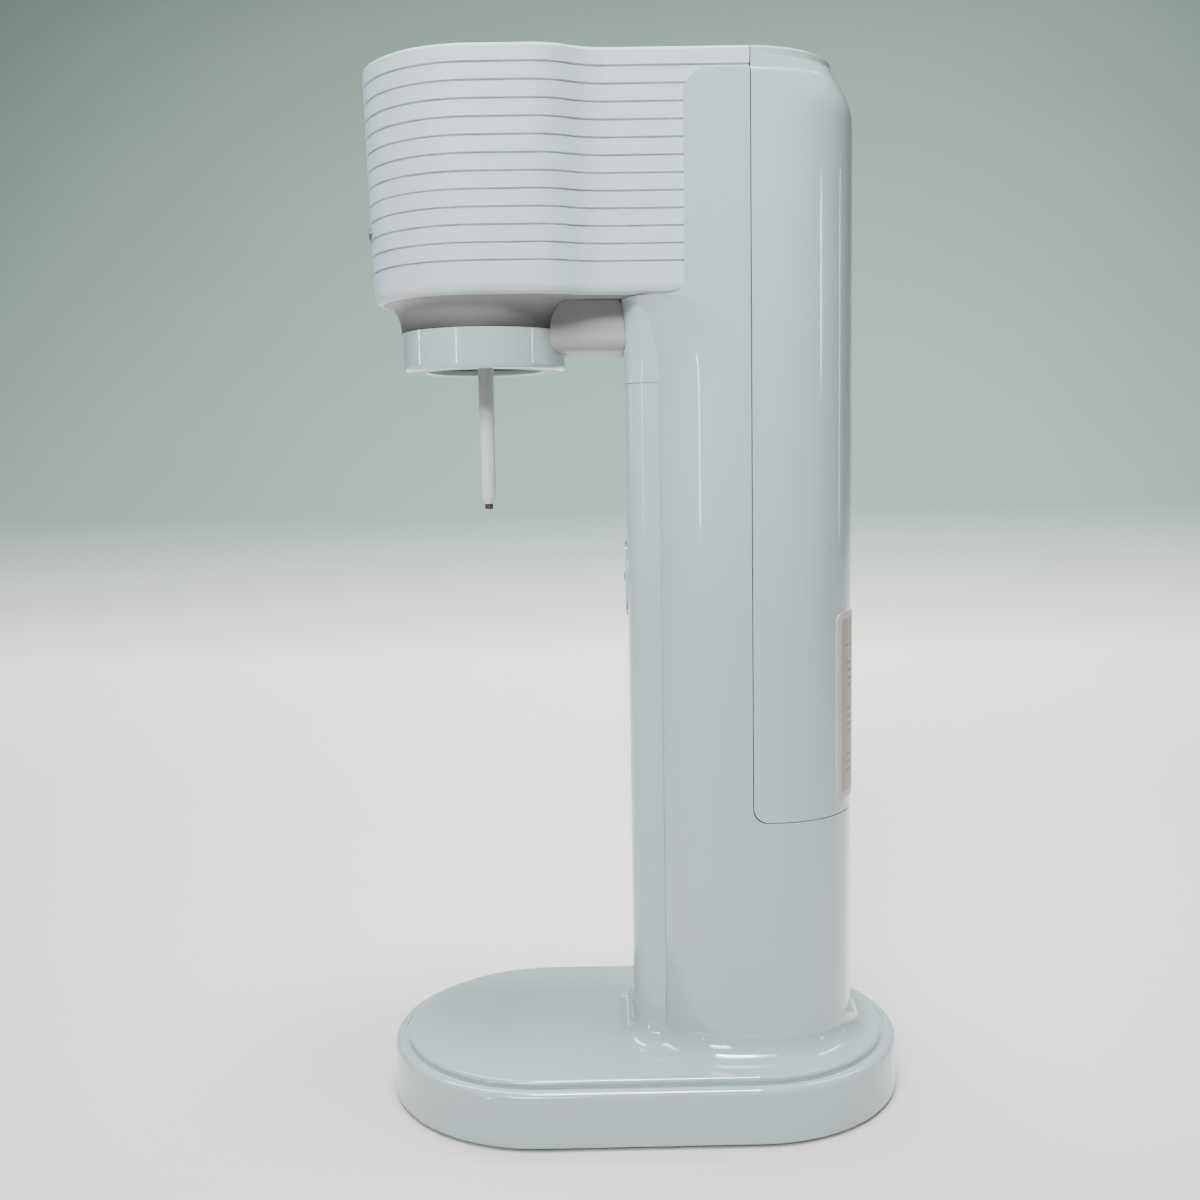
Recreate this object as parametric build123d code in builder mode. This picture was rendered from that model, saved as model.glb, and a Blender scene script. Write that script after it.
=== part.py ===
from build123d import *
import os
from math import atan2, cos, pi, radians, sin, sqrt

# Countertop soda carbonator, worked by a gas cylinder, with no electrics.
# Frame: millimetres, +Z up, the front faces -Y, symmetric about X = 0.
# Origin: centre of the base, on the surface that the feet stand on.

# --- Driving dimensions: base ---------------------------------------------------------
base_length = 218.0
base_width = 131.0
base_wall = 2.4
foot_stand = 1.5            # gap under the base cover
foot_radius = 8.0
foot_recess = 0.8
foot_inset_x = 22.0         # foot centre in from the base's side
foot_inset_y = 38.0         # foot centre in from the base's end
plate_thickness = 2.0
rim_height = 22.0           # from the cover's lower edge to the rim
rim_round = 3.0
step_inset = 6.0
step_rise = 2.5
step_round = 1.6
groove_inset = 4.4
groove_width = 1.4
groove_depth = 0.7
flare_radius = 9.0
flare_spare = 0.4           # straight stretch above the flare

# --- Driving dimensions: column -------------------------------------------------------
column_width = 80.0
column_depth = 89.0
column_corner = 37.0
column_wall = 2.4
column_front = 0.0          # Y of the column's front
cover_seam = 43.2           # Y where the rear cover begins
cover_sill = 123.0          # height of the rear cover's lower edge
cover_corner = 6.0
seam_gap = 0.4
strip_stand = 5.0           # front strip, proud of the column
strip_half_front = 22.6
strip_half_back = 26.5
strip_corner = 9.0
strip_wall = 2.0
strip_root = 12.0           # how far the strip's plan reaches into the column
foot_hollow = 10.0          # hollow corner between the strip and column at the base

# --- Driving dimensions: head ---------------------------------------------------------
head_top = 425.0            # overall height, without the fizz button
head_height = 91.6          # top to underside
nose_bulge = 8.0            # nose's radius beyond the waist's half width, at the top
waist_inset = 1.5           # waist's side in from the column's, at the top
waist_y = -11.0             # where the waist's straight side begins
nose_side = 22.5            # straight side behind the nose's arc
head_draft = 2.0            # how much the head shrinks from top to rim
head_wall = 2.4
rim_curl = 3.5              # rounding under the rim
band_height = 7.0           # smooth band above the first groove
rib_pitch = 6.57
rib_groove = 1.1
rib_depth = 0.8
top_round = 1.2
shoulder_y = 17.8           # front edge of the column's side plates
shoulder_drop = 8.3         # from the head's top to the top of the side plates
shoulder_corner = 10.0
plate_fillet = 6.0
lap = 2.6                   # how far the head's wall tucks behind the side plates
nook_length = 33.0          # height of the flare under the head
nook_corner = 20.0          # column corner at the top of that flare
nook_reach = 6.0            # how far the flare comes forward
nook_sharpness = 1.045      # how upright the flare ends, 1 being level
strip_spread = 11.4         # how much wider the strip is at the top of that flare
strip_sweep = 14.0          # how far its back moves behind, at the top of that flare
strip_lean = 1.5            # how far its front comes forward there

# --- Driving dimensions: collar, bottle socket and nozzle -----------------------------
collar_inset = 12.85        # collar's side in from the head's nose
collar_height = 16.0
collar_wall = 2.4
collar_round = 2.2
collar_mouth = 24.0
skirt_drop = 10.9           # concave skirt between underside and collar
skirt_margin = 0.75         # flat between the skirt and the head's curled rim
socket_radius = 22.5
socket_depth = 13.1
tube_radius = 3.25
tube_tip_radius = 3.0
tube_reach = 54.3           # tube's length below the collar, without its tip
tip_length = 1.5
tip_radius = 1.05
tube_bore_radius = 1.1
gas_way_radius = 1.4
inlet_way_radius = 0.9
spigot_radius = 7.7
spigot_reach = 5.0          # how far the nozzle's spigot hangs below the socket's ceiling
block_radius = 13.0
block_neck_radius = 9.0
inlet_boss_radius = 4.5
inlet_boss_reach = 13.0
inlet_barb_reach = 19.0
lug_radius = 21.5
lug_thickness = 3.0
lug_width = 16.0
lug_height = 2.4
seal_thickness = 2.4
relief_radius = 5.5
relief_wall = 1.8
relief_length = 13.0
relief_rise = 14.0          # relief valve's axis above the bottle socket
relief_cap_thickness = 3.0
poppet_thickness = 2.5
neck_half = 20.0
neck_drop = 20.2
neck_round = 5.0
neck_lap = 2.0              # how far the neck's sides reach round the flare's front
neck_wall = 2.2

# --- Driving dimensions: gas cylinder and its mechanism -------------------------------
cylinder_radius = 30.0
cylinder_wall = 3.0
unscrew_stroke = 12.0
valve_radius = 12.0
thread_radius = 10.5
stem_radius = 2.0
cylinder_shoulder = 22.0    # height of the cylinder's rounded shoulder
cylinder_shoulder_round = 24.0
cylinder_neck = 14.0        # radius of the flat at the cylinder's top
cylinder_foot_round = 8.0
cylinder_dish = 6.0         # how deep the cylinder's bottom is dished
cylinder_behind = 1.5       # cylinder's axis behind the column's middle
hinge_behind = 18.0         # lever's hinge behind the cylinder's axis
flange_screw_x = 18.0
flange_half = 22.0
flange_depth = 20.0
chassis_thickness = 4.0
rail_width = 5.5
rail_thickness = 2.2
arm_half = 16.0
arm_reach = 18.0            # chassis arm in front of the nozzle's axis
hose_radius = 2.5
lever_half = 5.5
lever_height = 6.0
lever_drop = 29.0           # lever axis below the head's top
hinge_pin_radius = 3.0
valve_pin_radius = 2.5
screw_radius = 1.5

# --- Driving dimensions: buttons ------------------------------------------------------
button_radius = 30.0
button_stand = 1.5
button_travel = 7.0
plunger_radius = 5.0
release_level = 220.0
release_width = 32.0
release_height = 29.0
release_corner = 12.0
release_gap = 1.4
release_stand = 0.9
release_travel = 4.0

# --- Driving dimensions: small fittings ----------------------------------------------
badge_drop = 63.2            # badge's middle below the head's top
badge_width = 24.0
badge_height = 5.0
badge_stand = 0.9
tip_seal_radius = 1.65
tip_seal_height = 2.2
barb_radius = 1.5
flange_height = 4.0
cradle_level = 84.0
cradle_height = 12.0
cradle_gap = 0.4

# --- Clearances -----------------------------------------------------------------------
running = 0.08              # radial, between a shaft and its bore
touch = 0.2                 # between seated pieces of one body
snug = 0.05                 # radial, between pieces pressed together
free = 0.4                  # between pieces that move apart
spring_ease = 0.15          # between a spring's wire and its seats

# --- Places worked out from the sizes above -------------------------------------------
column_half = column_width / 2
waist_half = column_half - waist_inset
head_radius = waist_half + nose_bulge
column_back = column_front + column_depth
column_mid = (column_front + column_back) / 2
corner_x = column_half - column_corner
front_corner_y = column_front + column_corner
strip_back = front_corner_y - sqrt(column_corner**2 - (strip_half_back - corner_x) ** 2)
base_half_straight = (base_length - base_width) / 2
rim_top = foot_stand + rim_height
plateau = rim_top + step_rise
column_foot = plateau + flare_radius + flare_spare
plate_top = foot_stand + plate_thickness
nozzle_y = head_radius - base_length / 2
collar_radius = head_radius - collar_inset
underside = head_top - head_height
rim_level = underside + rim_curl + 0.1
lip_top = underside - 0.4
lip_base = lip_top - nook_length
strip_top = lip_base - touch
badge_level = head_top - badge_drop
skirt_end = underside - skirt_drop
collar_top = skirt_end - touch
collar_bottom = collar_top - collar_height
shoulder_top = head_top - shoulder_drop
cylinder_y = column_mid + cylinder_behind
shelf_bottom = underside + 14.6
shelf_top = shelf_bottom + chassis_thickness
lever_axis_z = head_top - lever_drop
lever_bottom = lever_axis_z - lever_height / 2
lever_top = lever_axis_z + lever_height / 2
lever_hinge_y = cylinder_y + hinge_behind
cylinder_floor = plateau + 2.5
cylinder_bottom = cylinder_floor + unscrew_stroke + 1.0
cylinder_top = shelf_bottom - 8.0
valve_top = shelf_top + 14.0
stem_top = valve_top + 2.2
gas_socket_top = lever_bottom - 9.0
port_level = gas_socket_top - 10.0
inlet_level = shelf_top + 7.0
tube_seat_top = underside + 0.6
flange_places = [(-flange_screw_x, cylinder_y), (flange_screw_x, cylinder_y)]

os.makedirs("parts", exist_ok=True)


# === Shared outlines and solids ========================================================
def base_outline(inset, mode=Mode.ADD):
    """Stadium outline of the base, pulled in by inset, for the sketch that calls it."""
    SlotCenterToCenter(
        2 * base_half_straight, base_width - 2 * inset, rotation=90, mode=mode
    )


def column_outline(inset, mode=Mode.ADD):
    """Rounded outline of the column, pulled in by inset, for the sketch that calls it."""
    with Locations((0, column_mid)):
        RectangleRounded(
            column_width - 2 * inset,
            column_depth - 2 * inset,
            column_corner - inset,
            mode=mode,
        )


def front_half_outline(front, corner):
    """Column outline from its front to the seam, with a front corner of its own."""
    with BuildSketch(mode=Mode.PRIVATE) as outline:
        with Locations((0, (front + cover_seam) / 2)):
            Rectangle(column_width, cover_seam - front)
        fillet(outline.vertices().group_by(Axis.Y)[0], corner)
    return outline.sketch


def head_outline(inset, rear=None):
    """Plan of the head: round nose, S-shaped waist and straight sides back to rear."""
    rear = cover_seam if rear is None else rear
    nose = head_radius - inset
    waist = waist_half - inset
    bend_y = nozzle_y + nose_side
    sway = head_radius - waist_half
    run = waist_y - bend_y
    bend = (sway**2 + run**2) / (4 * sway)
    lean = atan2(run, 2 * bend - sway)
    inner_x = head_radius - bend
    outer_x = waist_half + bend
    small = bend - inset
    large = bend + inset
    meet = (inner_x + small * cos(lean), bend_y + small * sin(lean))
    with BuildSketch(mode=Mode.PRIVATE) as outline:
        with BuildLine():
            Line((0, rear), (waist, rear))
            Line((waist, rear), (waist, waist_y))
            ThreePointArc(
                (waist, waist_y),
                (outer_x - large * cos(lean / 2), waist_y - large * sin(lean / 2)),
                meet,
            )
            ThreePointArc(
                meet,
                (inner_x + small * cos(lean / 2), bend_y + small * sin(lean / 2)),
                (nose, bend_y),
            )
            Line((nose, bend_y), (nose, nozzle_y))
            ThreePointArc(
                (nose, nozzle_y),
                (nose * sin(pi / 4), nozzle_y - nose * cos(pi / 4)),
                (0, nozzle_y - nose),
            )
            mirror(about=Plane.YZ)
        make_face()
    return outline.sketch


def draft_inset(height):
    """How far the head's wall has drawn in at a height."""
    return head_draft * (head_top - height) / (head_top - rim_level)


def head_solid(levels):
    """Solid through head outlines at (height, inset) levels."""
    with BuildPart() as solid:
        for height, inset in levels:
            with BuildSketch(Plane.XY.offset(height)):
                add(head_outline(inset))
        loft(ruled=True)
    return solid.part


def block_plan(front, half_front, half_back, back, corner):
    """Plan of a block with sloping sides and two rounded corners at its front."""
    with BuildSketch(mode=Mode.PRIVATE) as outline:
        with BuildLine():
            Polyline(
                (-half_back, back + strip_root),
                (-half_back, back),
                (-half_front, front),
                (half_front, front),
                (half_back, back),
                (half_back, back + strip_root),
                close=True,
            )
        make_face()
        fillet(outline.vertices().group_by(Axis.Y)[0], corner)
    return outline.sketch


def strip_outline(grow):
    """Plan of the front strip, grown by grow, reaching back into the column."""
    return block_plan(
        column_front - strip_stand - grow,
        strip_half_front + grow,
        strip_half_back + grow,
        strip_back,
        strip_corner + grow,
    )


def foot_outline():
    """Plan of the column and its strip in one, with hollow corners between them."""
    with BuildSketch(mode=Mode.PRIVATE) as outline:
        column_outline(0)
        add(strip_outline(0))
        fillet(
            outline.vertices().filter_by_position(
                Axis.Y, strip_back - 0.5, strip_back + 0.5
            ),
            foot_hollow,
        )
    return outline.sketch


def rear_region(margin):
    """Side view of the space that the rear cover fills, less a margin on its seams."""
    with BuildSketch(mode=Mode.PRIVATE) as region:
        with BuildLine():
            Polyline(
                (cover_seam + margin, cover_sill + margin),
                (cover_seam + margin, head_top + 20),
                (column_back + 20, head_top + 20),
                (column_back + 20, cover_sill + margin),
                close=True,
            )
        make_face()
        fillet(
            region.vertices().sort_by(Axis.X)[:2].sort_by(Axis.Y)[0],
            cover_corner,
        )
    return region.sketch


def clasp_region(offset):
    """Side view of the space behind the side plates' edge, offset inwards from it."""
    with BuildSketch(mode=Mode.PRIVATE) as region:
        with BuildLine():
            Polyline(
                (shoulder_y + offset, 0),
                (shoulder_y + offset, shoulder_top - offset),
                (column_back + 20, shoulder_top - offset),
                (column_back + 20, 0),
                close=True,
            )
        make_face()
        fillet(
            region.vertices().sort_by(Axis.X)[:2].sort_by(Axis.Y)[-1],
            shoulder_corner - offset,
        )
    return region.sketch


def coil(radius, wire, height, turns):
    """Compression spring standing on the XY plane, a little short of its seats."""
    rise = height - wire - 2 * spring_ease
    with BuildPart() as spring:
        with BuildLine():
            path = Helix(pitch=rise / turns, height=rise, radius=radius)
        with BuildSketch(Plane(origin=path @ 0, z_dir=path % 0)):
            Circle(wire / 2)
        sweep(is_frenet=True)
    return spring.part.moved(Location((0, 0, wire / 2 + spring_ease)))


# === Base ==============================================================================
screw_x = base_width / 2 - 21.5
screw_y = base_half_straight + 6.5
boss_radius = 4.0
foot_x = base_width / 2 - foot_inset_x
foot_y = base_length / 2 - foot_inset_y
ceiling = rim_top - base_wall

with BuildPart() as base_cover:
    with BuildSketch(Plane.XY.offset(foot_stand)):
        base_outline(0)
    extrude(amount=rim_height)
    fillet(base_cover.edges().group_by(Axis.Z)[-1], rim_round)
    with BuildSketch(Plane.XY.offset(rim_top)):
        base_outline(step_inset)
    extrude(amount=step_rise)
    fillet(base_cover.edges().group_by(Axis.Z)[-1], step_round)
    with BuildSketch(Plane.XY.offset(rim_top - groove_depth)):
        base_outline(groove_inset)
        base_outline(groove_inset + groove_width, mode=Mode.SUBTRACT)
    extrude(amount=groove_depth + 1, mode=Mode.SUBTRACT)
    with BuildSketch(Plane.XY.offset(plateau)):
        add(foot_outline())
    extrude(amount=column_foot - plateau)
    fillet(
        base_cover.edges().filter_by_position(Axis.Z, plateau - 0.01, plateau + 0.01)
        .filter_by(lambda edge: edge.bounding_box().max.X < column_half + 1
                   and edge.bounding_box().min.X > -column_half - 1
                   and edge.bounding_box().min.Y > column_front - strip_stand - 1
                   and edge.bounding_box().max.Y < column_back + 1),
        flare_radius,
    )
    with BuildSketch(Plane.XY.offset(foot_stand)):
        base_outline(base_wall)
    extrude(amount=ceiling - foot_stand, mode=Mode.SUBTRACT)
    with BuildSketch(Plane.XY.offset(ceiling - 0.5)):
        base_outline(step_inset + base_wall)
    extrude(amount=step_rise + 0.5, mode=Mode.SUBTRACT)
    with BuildSketch(Plane.XY.offset(plateau)):
        column_outline(column_wall)
    extrude(amount=column_foot, mode=Mode.SUBTRACT)
    with BuildSketch(Plane.XY.offset(plate_top)):
        with GridLocations(2 * screw_x, 2 * screw_y, 2, 2):
            Circle(boss_radius)
            Circle(screw_radius + touch, mode=Mode.SUBTRACT)
    extrude(amount=ceiling + step_rise - plate_top)

base_cover.part.label = "base_cover"
export_step(base_cover.part, "parts/base_cover.step")

with BuildPart() as base_plate:
    with BuildSketch(Plane.XY.offset(foot_stand)):
        base_outline(base_wall + touch)
        with GridLocations(2 * screw_x, 2 * screw_y, 2, 2):
            Circle(screw_radius + touch, mode=Mode.SUBTRACT)
    extrude(amount=plate_thickness)
    with BuildSketch(Plane.XY.offset(foot_stand)):
        with GridLocations(2 * foot_x, 2 * foot_y, 2, 2):
            Circle(foot_radius + touch)
    extrude(amount=foot_recess, mode=Mode.SUBTRACT)
    with BuildSketch(Plane.XY.offset(foot_stand)):
        with GridLocations(2 * screw_x, 2 * screw_y, 2, 2):
            Circle(2 * screw_radius + touch)
    extrude(amount=foot_recess, mode=Mode.SUBTRACT)

base_plate.part.label = "base_plate"
export_step(base_plate.part, "parts/base_plate.step")

with BuildPart() as rubber_feet:
    with BuildSketch(Plane.XY):
        with GridLocations(2 * foot_x, 2 * foot_y, 2, 2):
            Circle(foot_radius)
    extrude(amount=foot_stand + foot_recess)
    chamfer(rubber_feet.edges().group_by(Axis.Z)[0], 0.5)

rubber_feet.part.label = "rubber_feet"
export_step(rubber_feet.part, "parts/rubber_feet.step")

with BuildPart() as base_screws:
    with BuildSketch(Plane.XY.offset(foot_stand + foot_recess - 0.7)):
        with GridLocations(2 * screw_x, 2 * screw_y, 2, 2):
            Circle(2 * screw_radius)
            RectangleRounded(2.4, 0.6, 0.25, mode=Mode.SUBTRACT)
    extrude(amount=0.7)
    with BuildSketch(Plane.XY.offset(foot_stand + foot_recess - 0.2)):
        with GridLocations(2 * screw_x, 2 * screw_y, 2, 2):
            Circle(screw_radius)
    extrude(amount=10)

base_screws.part.label = "base_screws"
export_step(base_screws.part, "parts/base_screws.step")


# === Column ============================================================================
def nook_share(height):
    """Circular ramp, 0 at the flare's base and 1 at its lip."""
    reach = nook_sharpness * nook_length
    ramp = 1 - sqrt(1 - ((height - lip_base) / reach) ** 2)
    return ramp / (1 - sqrt(1 - (nook_length / reach) ** 2))


nook_steps = [0.0, 0.3, 0.55, 0.74, 0.88, 0.96, 1.0]
with BuildPart() as column_flare:
    for step in nook_steps:
        level = lip_base + step * nook_length
        share = nook_share(level)
        with BuildSketch(Plane.XY.offset(level)):
            add(
                front_half_outline(
                    column_front - share * nook_reach,
                    column_corner - share * (column_corner - nook_corner),
                )
            )
    loft()

with BuildPart() as nook:
    for step in nook_steps:
        level = lip_base + step * nook_length
        share = nook_share(level)
        with BuildSketch(Plane.XY.offset(level)):
            add(
                block_plan(
                    column_front - strip_stand - share * strip_lean,
                    strip_half_front + share * strip_spread,
                    strip_half_back + share * strip_spread,
                    strip_back + share * strip_sweep,
                    strip_corner + share * (nook_corner - strip_corner),
                )
            )
    loft()
    add(column_flare.part)

with BuildPart() as rear_block:
    with BuildSketch(Plane.YZ):
        add(rear_region(0))
    extrude(amount=column_width, both=True)

with BuildPart() as clasp:
    add(head_solid([(lip_top, draft_inset(lip_top) - touch), (head_top, -touch)]))
    with BuildSketch(Plane.YZ):
        add(clasp_region(lap + free))
    extrude(amount=column_width, both=True, mode=Mode.SUBTRACT)

ledge_height = 8.0
ledge_reach = 12.0
ledge_width = 12.0
ledge_y = cover_seam - 14.0
ledge_screw_x = column_half - column_wall - ledge_reach + 4.0
ledge_places = [(-ledge_screw_x, ledge_y), (ledge_screw_x, ledge_y)]

with BuildPart() as column_shell:
    # flare under the head, which the front strip runs up to
    add(nook.part)
    # tube of the column
    with BuildSketch(Plane.XY.offset(column_foot)):
        column_outline(0)
    extrude(amount=lip_base - column_foot)
    # side plates that clasp the head
    with BuildSketch(Plane.YZ.offset(column_half - column_wall)):
        with BuildLine():
            Polyline(
                (cover_seam, lip_top - 1),
                (cover_seam, shoulder_top),
                (shoulder_y + shoulder_corner, shoulder_top),
            )
            RadiusArc(
                (shoulder_y + shoulder_corner, shoulder_top),
                (shoulder_y, shoulder_top - shoulder_corner),
                -shoulder_corner,
            )
            Line(
                (shoulder_y, shoulder_top - shoulder_corner),
                (shoulder_y, lip_top + plate_fillet),
            )
            RadiusArc(
                (shoulder_y, lip_top + plate_fillet),
                (shoulder_y - plate_fillet, lip_top),
                plate_fillet,
            )
            Polyline(
                (shoulder_y - plate_fillet, lip_top),
                (shoulder_y - plate_fillet, lip_top - 1),
                (cover_seam, lip_top - 1),
            )
        make_face()
    plates = extrude(amount=column_wall)
    mirror(plates, about=Plane.YZ)
    # rebate in the plates for the head's wall
    add(clasp.part, mode=Mode.SUBTRACT)
    # bore of the column, and the space that the rear cover closes
    with BuildSketch(Plane.XY.offset(column_foot)):
        column_outline(column_wall)
    extrude(amount=lip_top - column_foot, mode=Mode.SUBTRACT)
    add(rear_block.part, mode=Mode.SUBTRACT)
    # window behind the release button
    with BuildSketch(Plane.XZ.offset(-column_front - 6)):
        with Locations((0, release_level)):
            RectangleRounded(
                release_width + 2 * release_gap,
                release_height + 2 * release_gap,
                release_corner + release_gap,
            )
    extrude(amount=6 + nook_reach, mode=Mode.SUBTRACT)
    # ledges that carry the chassis
    with BuildSketch(Plane.XY.offset(shelf_bottom - ledge_height)):
        with GridLocations(2 * (column_half - column_wall) - ledge_reach + 1, 1, 2, 1):
            with Locations((0, ledge_y)):
                Rectangle(ledge_reach + 1, ledge_width)
        with Locations(*ledge_places):
            Circle(screw_radius + touch, mode=Mode.SUBTRACT)
    extrude(amount=ledge_height)

column_shell.part.label = "column_shell"
export_step(column_shell.part, "parts/column_shell.step")

with BuildPart() as front_panel:
    with BuildSketch(Plane.XY.offset(column_foot)):
        add(strip_outline(0))
    extrude(amount=strip_top - column_foot)
    with BuildSketch(Plane.XY.offset(column_foot)):
        add(strip_outline(-strip_wall))
    extrude(amount=strip_top - strip_wall - column_foot, mode=Mode.SUBTRACT)
    with BuildSketch(Plane.XY.offset(column_foot)):
        column_outline(-touch)
    extrude(amount=strip_top - column_foot, mode=Mode.SUBTRACT)
    with BuildSketch(Plane.XZ.offset(-column_front - 6)):
        with Locations((0, release_level)):
            RectangleRounded(
                release_width + 2 * release_gap,
                release_height + 2 * release_gap,
                release_corner + release_gap,
            )
    extrude(amount=12 + strip_stand, mode=Mode.SUBTRACT)

front_panel.part.label = "front_panel"
export_step(front_panel.part, "parts/front_panel.step")

tongue_x = column_half - column_wall - touch - 0.8
tongue_thickness = 1.6
tongue_height = 14.0
tongue_reach = 5.0
tongue_low = cover_sill + 40.0
tongue_high = head_top - 35.0
tongue_levels = [tongue_low, (tongue_low + shelf_bottom) / 2, tongue_high]
pusher_y = cover_seam + 0.8 + release_travel + free
pusher_x = column_half - column_wall - 1.2
pusher_width = 3.4
pusher_height = 16.0
pusher_length = 4.0
label_half = 29.0
label_bottom = cover_sill + 6.0
label_height = 77.0
label_corner = 3.0
label_thickness = 0.3

# Rear cover: outline levels of its shoulder as (height below the top, half width, rear)
shoulder_levels = [
    (25.0, column_half, column_back),
    (22.5, column_half, column_back - 0.1),
    (20.0, column_half, column_back - 0.45),
    (17.5, column_half, column_back - 1.05),
    (15.0, column_half, column_back - 1.95),
    (12.5, column_half, column_back - 3.15),
    (10.5, column_half, column_back - 4.2),
    (9.5, column_half - 0.1, column_back - 4.8),
    (8.9, column_half - 0.4, column_back - 5.2),
    (8.4, column_half - 0.9, column_back - 5.5),
    (8.3, waist_half + 0.1, column_back - 5.6),
    (3.8, waist_half, column_back - 8.2),
]
band_back = column_back - 8.4

with BuildPart() as rear_cover:
    with BuildSketch(Plane.XY.offset(cover_sill)):
        column_outline(0)
    extrude(amount=head_top - shoulder_levels[0][0] - cover_sill)
    for drop, half, back in shoulder_levels:
        with BuildSketch(Plane.XY.offset(head_top - drop)):
            with Locations((0, (column_front + back) / 2)):
                RectangleRounded(2 * half, back - column_front, half - corner_x)
    loft(ruled=True)
    with BuildSketch(Plane.XY.offset(head_top - shoulder_levels[-1][0])):
        with Locations((0, (column_front + band_back) / 2)):
            RectangleRounded(2 * waist_half, band_back - column_front, waist_half - 0.3)
    extrude(amount=shoulder_levels[-1][0])
    fillet(rear_cover.edges().group_by(Axis.Z)[-1], top_round)
    # bore, with a top of one wall
    with BuildSketch(Plane.XY.offset(cover_sill)):
        column_outline(column_wall)
    extrude(amount=head_top - shoulder_levels[0][0] - cover_sill, mode=Mode.SUBTRACT)
    for drop, half, back in (shoulder_levels[0], (column_wall, waist_half, band_back)):
        with BuildSketch(Plane.XY.offset(head_top - drop)):
            with Locations((0, (column_front + back) / 2)):
                RectangleRounded(
                    2 * (half - column_wall),
                    back - column_front - 2 * column_wall,
                    half - corner_x - column_wall,
                )
    loft(ruled=True, mode=Mode.SUBTRACT)
    # only what lies behind the seam
    with BuildSketch(Plane.YZ):
        add(rear_region(seam_gap))
    extrude(amount=column_width, both=True, mode=Mode.INTERSECT)
    # tongues that enter the column behind the seam
    with BuildSketch(Plane.XZ.offset(-cover_seam - 6)):
        with GridLocations(2 * tongue_x, 1, 2, 1):
            with Locations(*[(0, level) for level in tongue_levels]):
                Rectangle(tongue_thickness, tongue_height)
    extrude(amount=6 + tongue_reach)
    with BuildSketch(Plane.XZ.offset(-cover_seam - 6)):
        with GridLocations(2 * tongue_x + 1.6, 1, 2, 1):
            with Locations(*[(0, level) for level in tongue_levels]):
                Rectangle(tongue_thickness + 0.4, tongue_height)
    extrude(amount=6 - seam_gap)
    # pushers that the release yoke meets
    with BuildSketch(Plane.XZ.offset(-pusher_y)):
        with GridLocations(2 * pusher_x, 1, 2, 1):
            with Locations((0, release_level)):
                Rectangle(pusher_width, pusher_height)
    extrude(amount=-pusher_length)

rear_cover.part.label = "rear_cover"
export_step(rear_cover.part, "parts/rear_cover.step")

with BuildPart() as rating_label:
    with BuildSketch(Plane.XY.offset(label_bottom)):
        column_outline(-label_thickness - 0.05)
        column_outline(-0.05, mode=Mode.SUBTRACT)
    extrude(amount=label_height)
    with BuildSketch(Plane.XZ.offset(-column_mid)):
        with Locations((0, label_bottom + label_height / 2)):
            RectangleRounded(2 * label_half, label_height, label_corner)
    extrude(amount=-column_depth, mode=Mode.INTERSECT)

rating_label.part.label = "rating_label"
export_step(rating_label.part, "parts/rating_label.step")


# === Head ==============================================================================
rim_inner = head_draft + rim_curl + 0.1
skirt_foot = collar_radius + 0.4
skirt_rim = head_radius - rim_inner - skirt_margin
flange_thickness = 1.4
cover_flange_top = rim_level + flange_thickness
under_rear = shoulder_y - touch
neck_back = column_front - strip_stand + neck_lap
post_radius = 4.0
head_post_places = [(-24.0, 14.0), (24.0, 14.0)]
wing_places = [(-arm_half - 4.5, -22.0), (arm_half + 4.5, -22.0)]

rib_first = head_top - band_height + rib_groove / 2
rib_count = int((rib_first - rim_level - rib_pitch) / rib_pitch) + 1
head_levels = []
for step in range(5):
    curl = radians(90 - 22.5 * step)
    head_levels.append((
        rim_level - rim_curl * sin(curl),
        head_draft + rim_curl * (1 - cos(curl)),
    ))
for rib in reversed(range(rib_count)):
    middle = rib_first - rib_groove / 2 - rib * rib_pitch
    for height, depth in (
        (middle - rib_groove / 2, 0),
        (middle, rib_depth),
        (middle + rib_groove / 2, 0),
    ):
        head_levels.append((height, draft_inset(height) + depth))
head_levels += [
    (head_top - top_round, draft_inset(head_top - top_round)),
    (head_top - 0.35 * top_round, 0.25 * top_round),
    (head_top, 0.9 * top_round),
]
head_bore = [
    (rim_level, head_draft + head_wall),
    (head_top - head_wall, head_wall + 0.2),
]

with BuildPart() as head_shell:
    add(head_solid(head_levels))
    add(head_solid(head_bore), mode=Mode.SUBTRACT)
    with BuildSketch(Plane.XY.offset(underside - 1)):
        add(head_outline(rim_inner))
    extrude(amount=rim_level - underside + 2, mode=Mode.SUBTRACT)
    # the wall stops behind the column's side plates, and the rear is open
    with BuildSketch(Plane.YZ):
        add(clasp_region(lap))
    extrude(amount=column_width, both=True, mode=Mode.SUBTRACT)
    with BuildSketch(Plane.XY.offset(underside)):
        with Locations((0, cover_seam - head_wall)):
            Rectangle(2 * (waist_half - 2 * head_wall), 3 * head_wall)
    extrude(amount=head_height - head_wall, mode=Mode.SUBTRACT)
    # round well for the fizz button
    with BuildSketch(Plane.XY.offset(head_top + 1)):
        with Locations((0, nozzle_y)):
            Circle(button_radius + 1.5 * free)
    extrude(amount=-head_wall - 2, mode=Mode.SUBTRACT)
    # posts that stand on the chassis
    with BuildSketch(Plane.XY.offset(shelf_top)):
        with Locations(*head_post_places):
            Circle(post_radius)
            Circle(screw_radius + touch, mode=Mode.SUBTRACT)
    extrude(amount=head_top - head_wall + 0.5 - shelf_top)

head_shell.part.label = "head_shell"
export_step(head_shell.part, "parts/head_shell.step")

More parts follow.
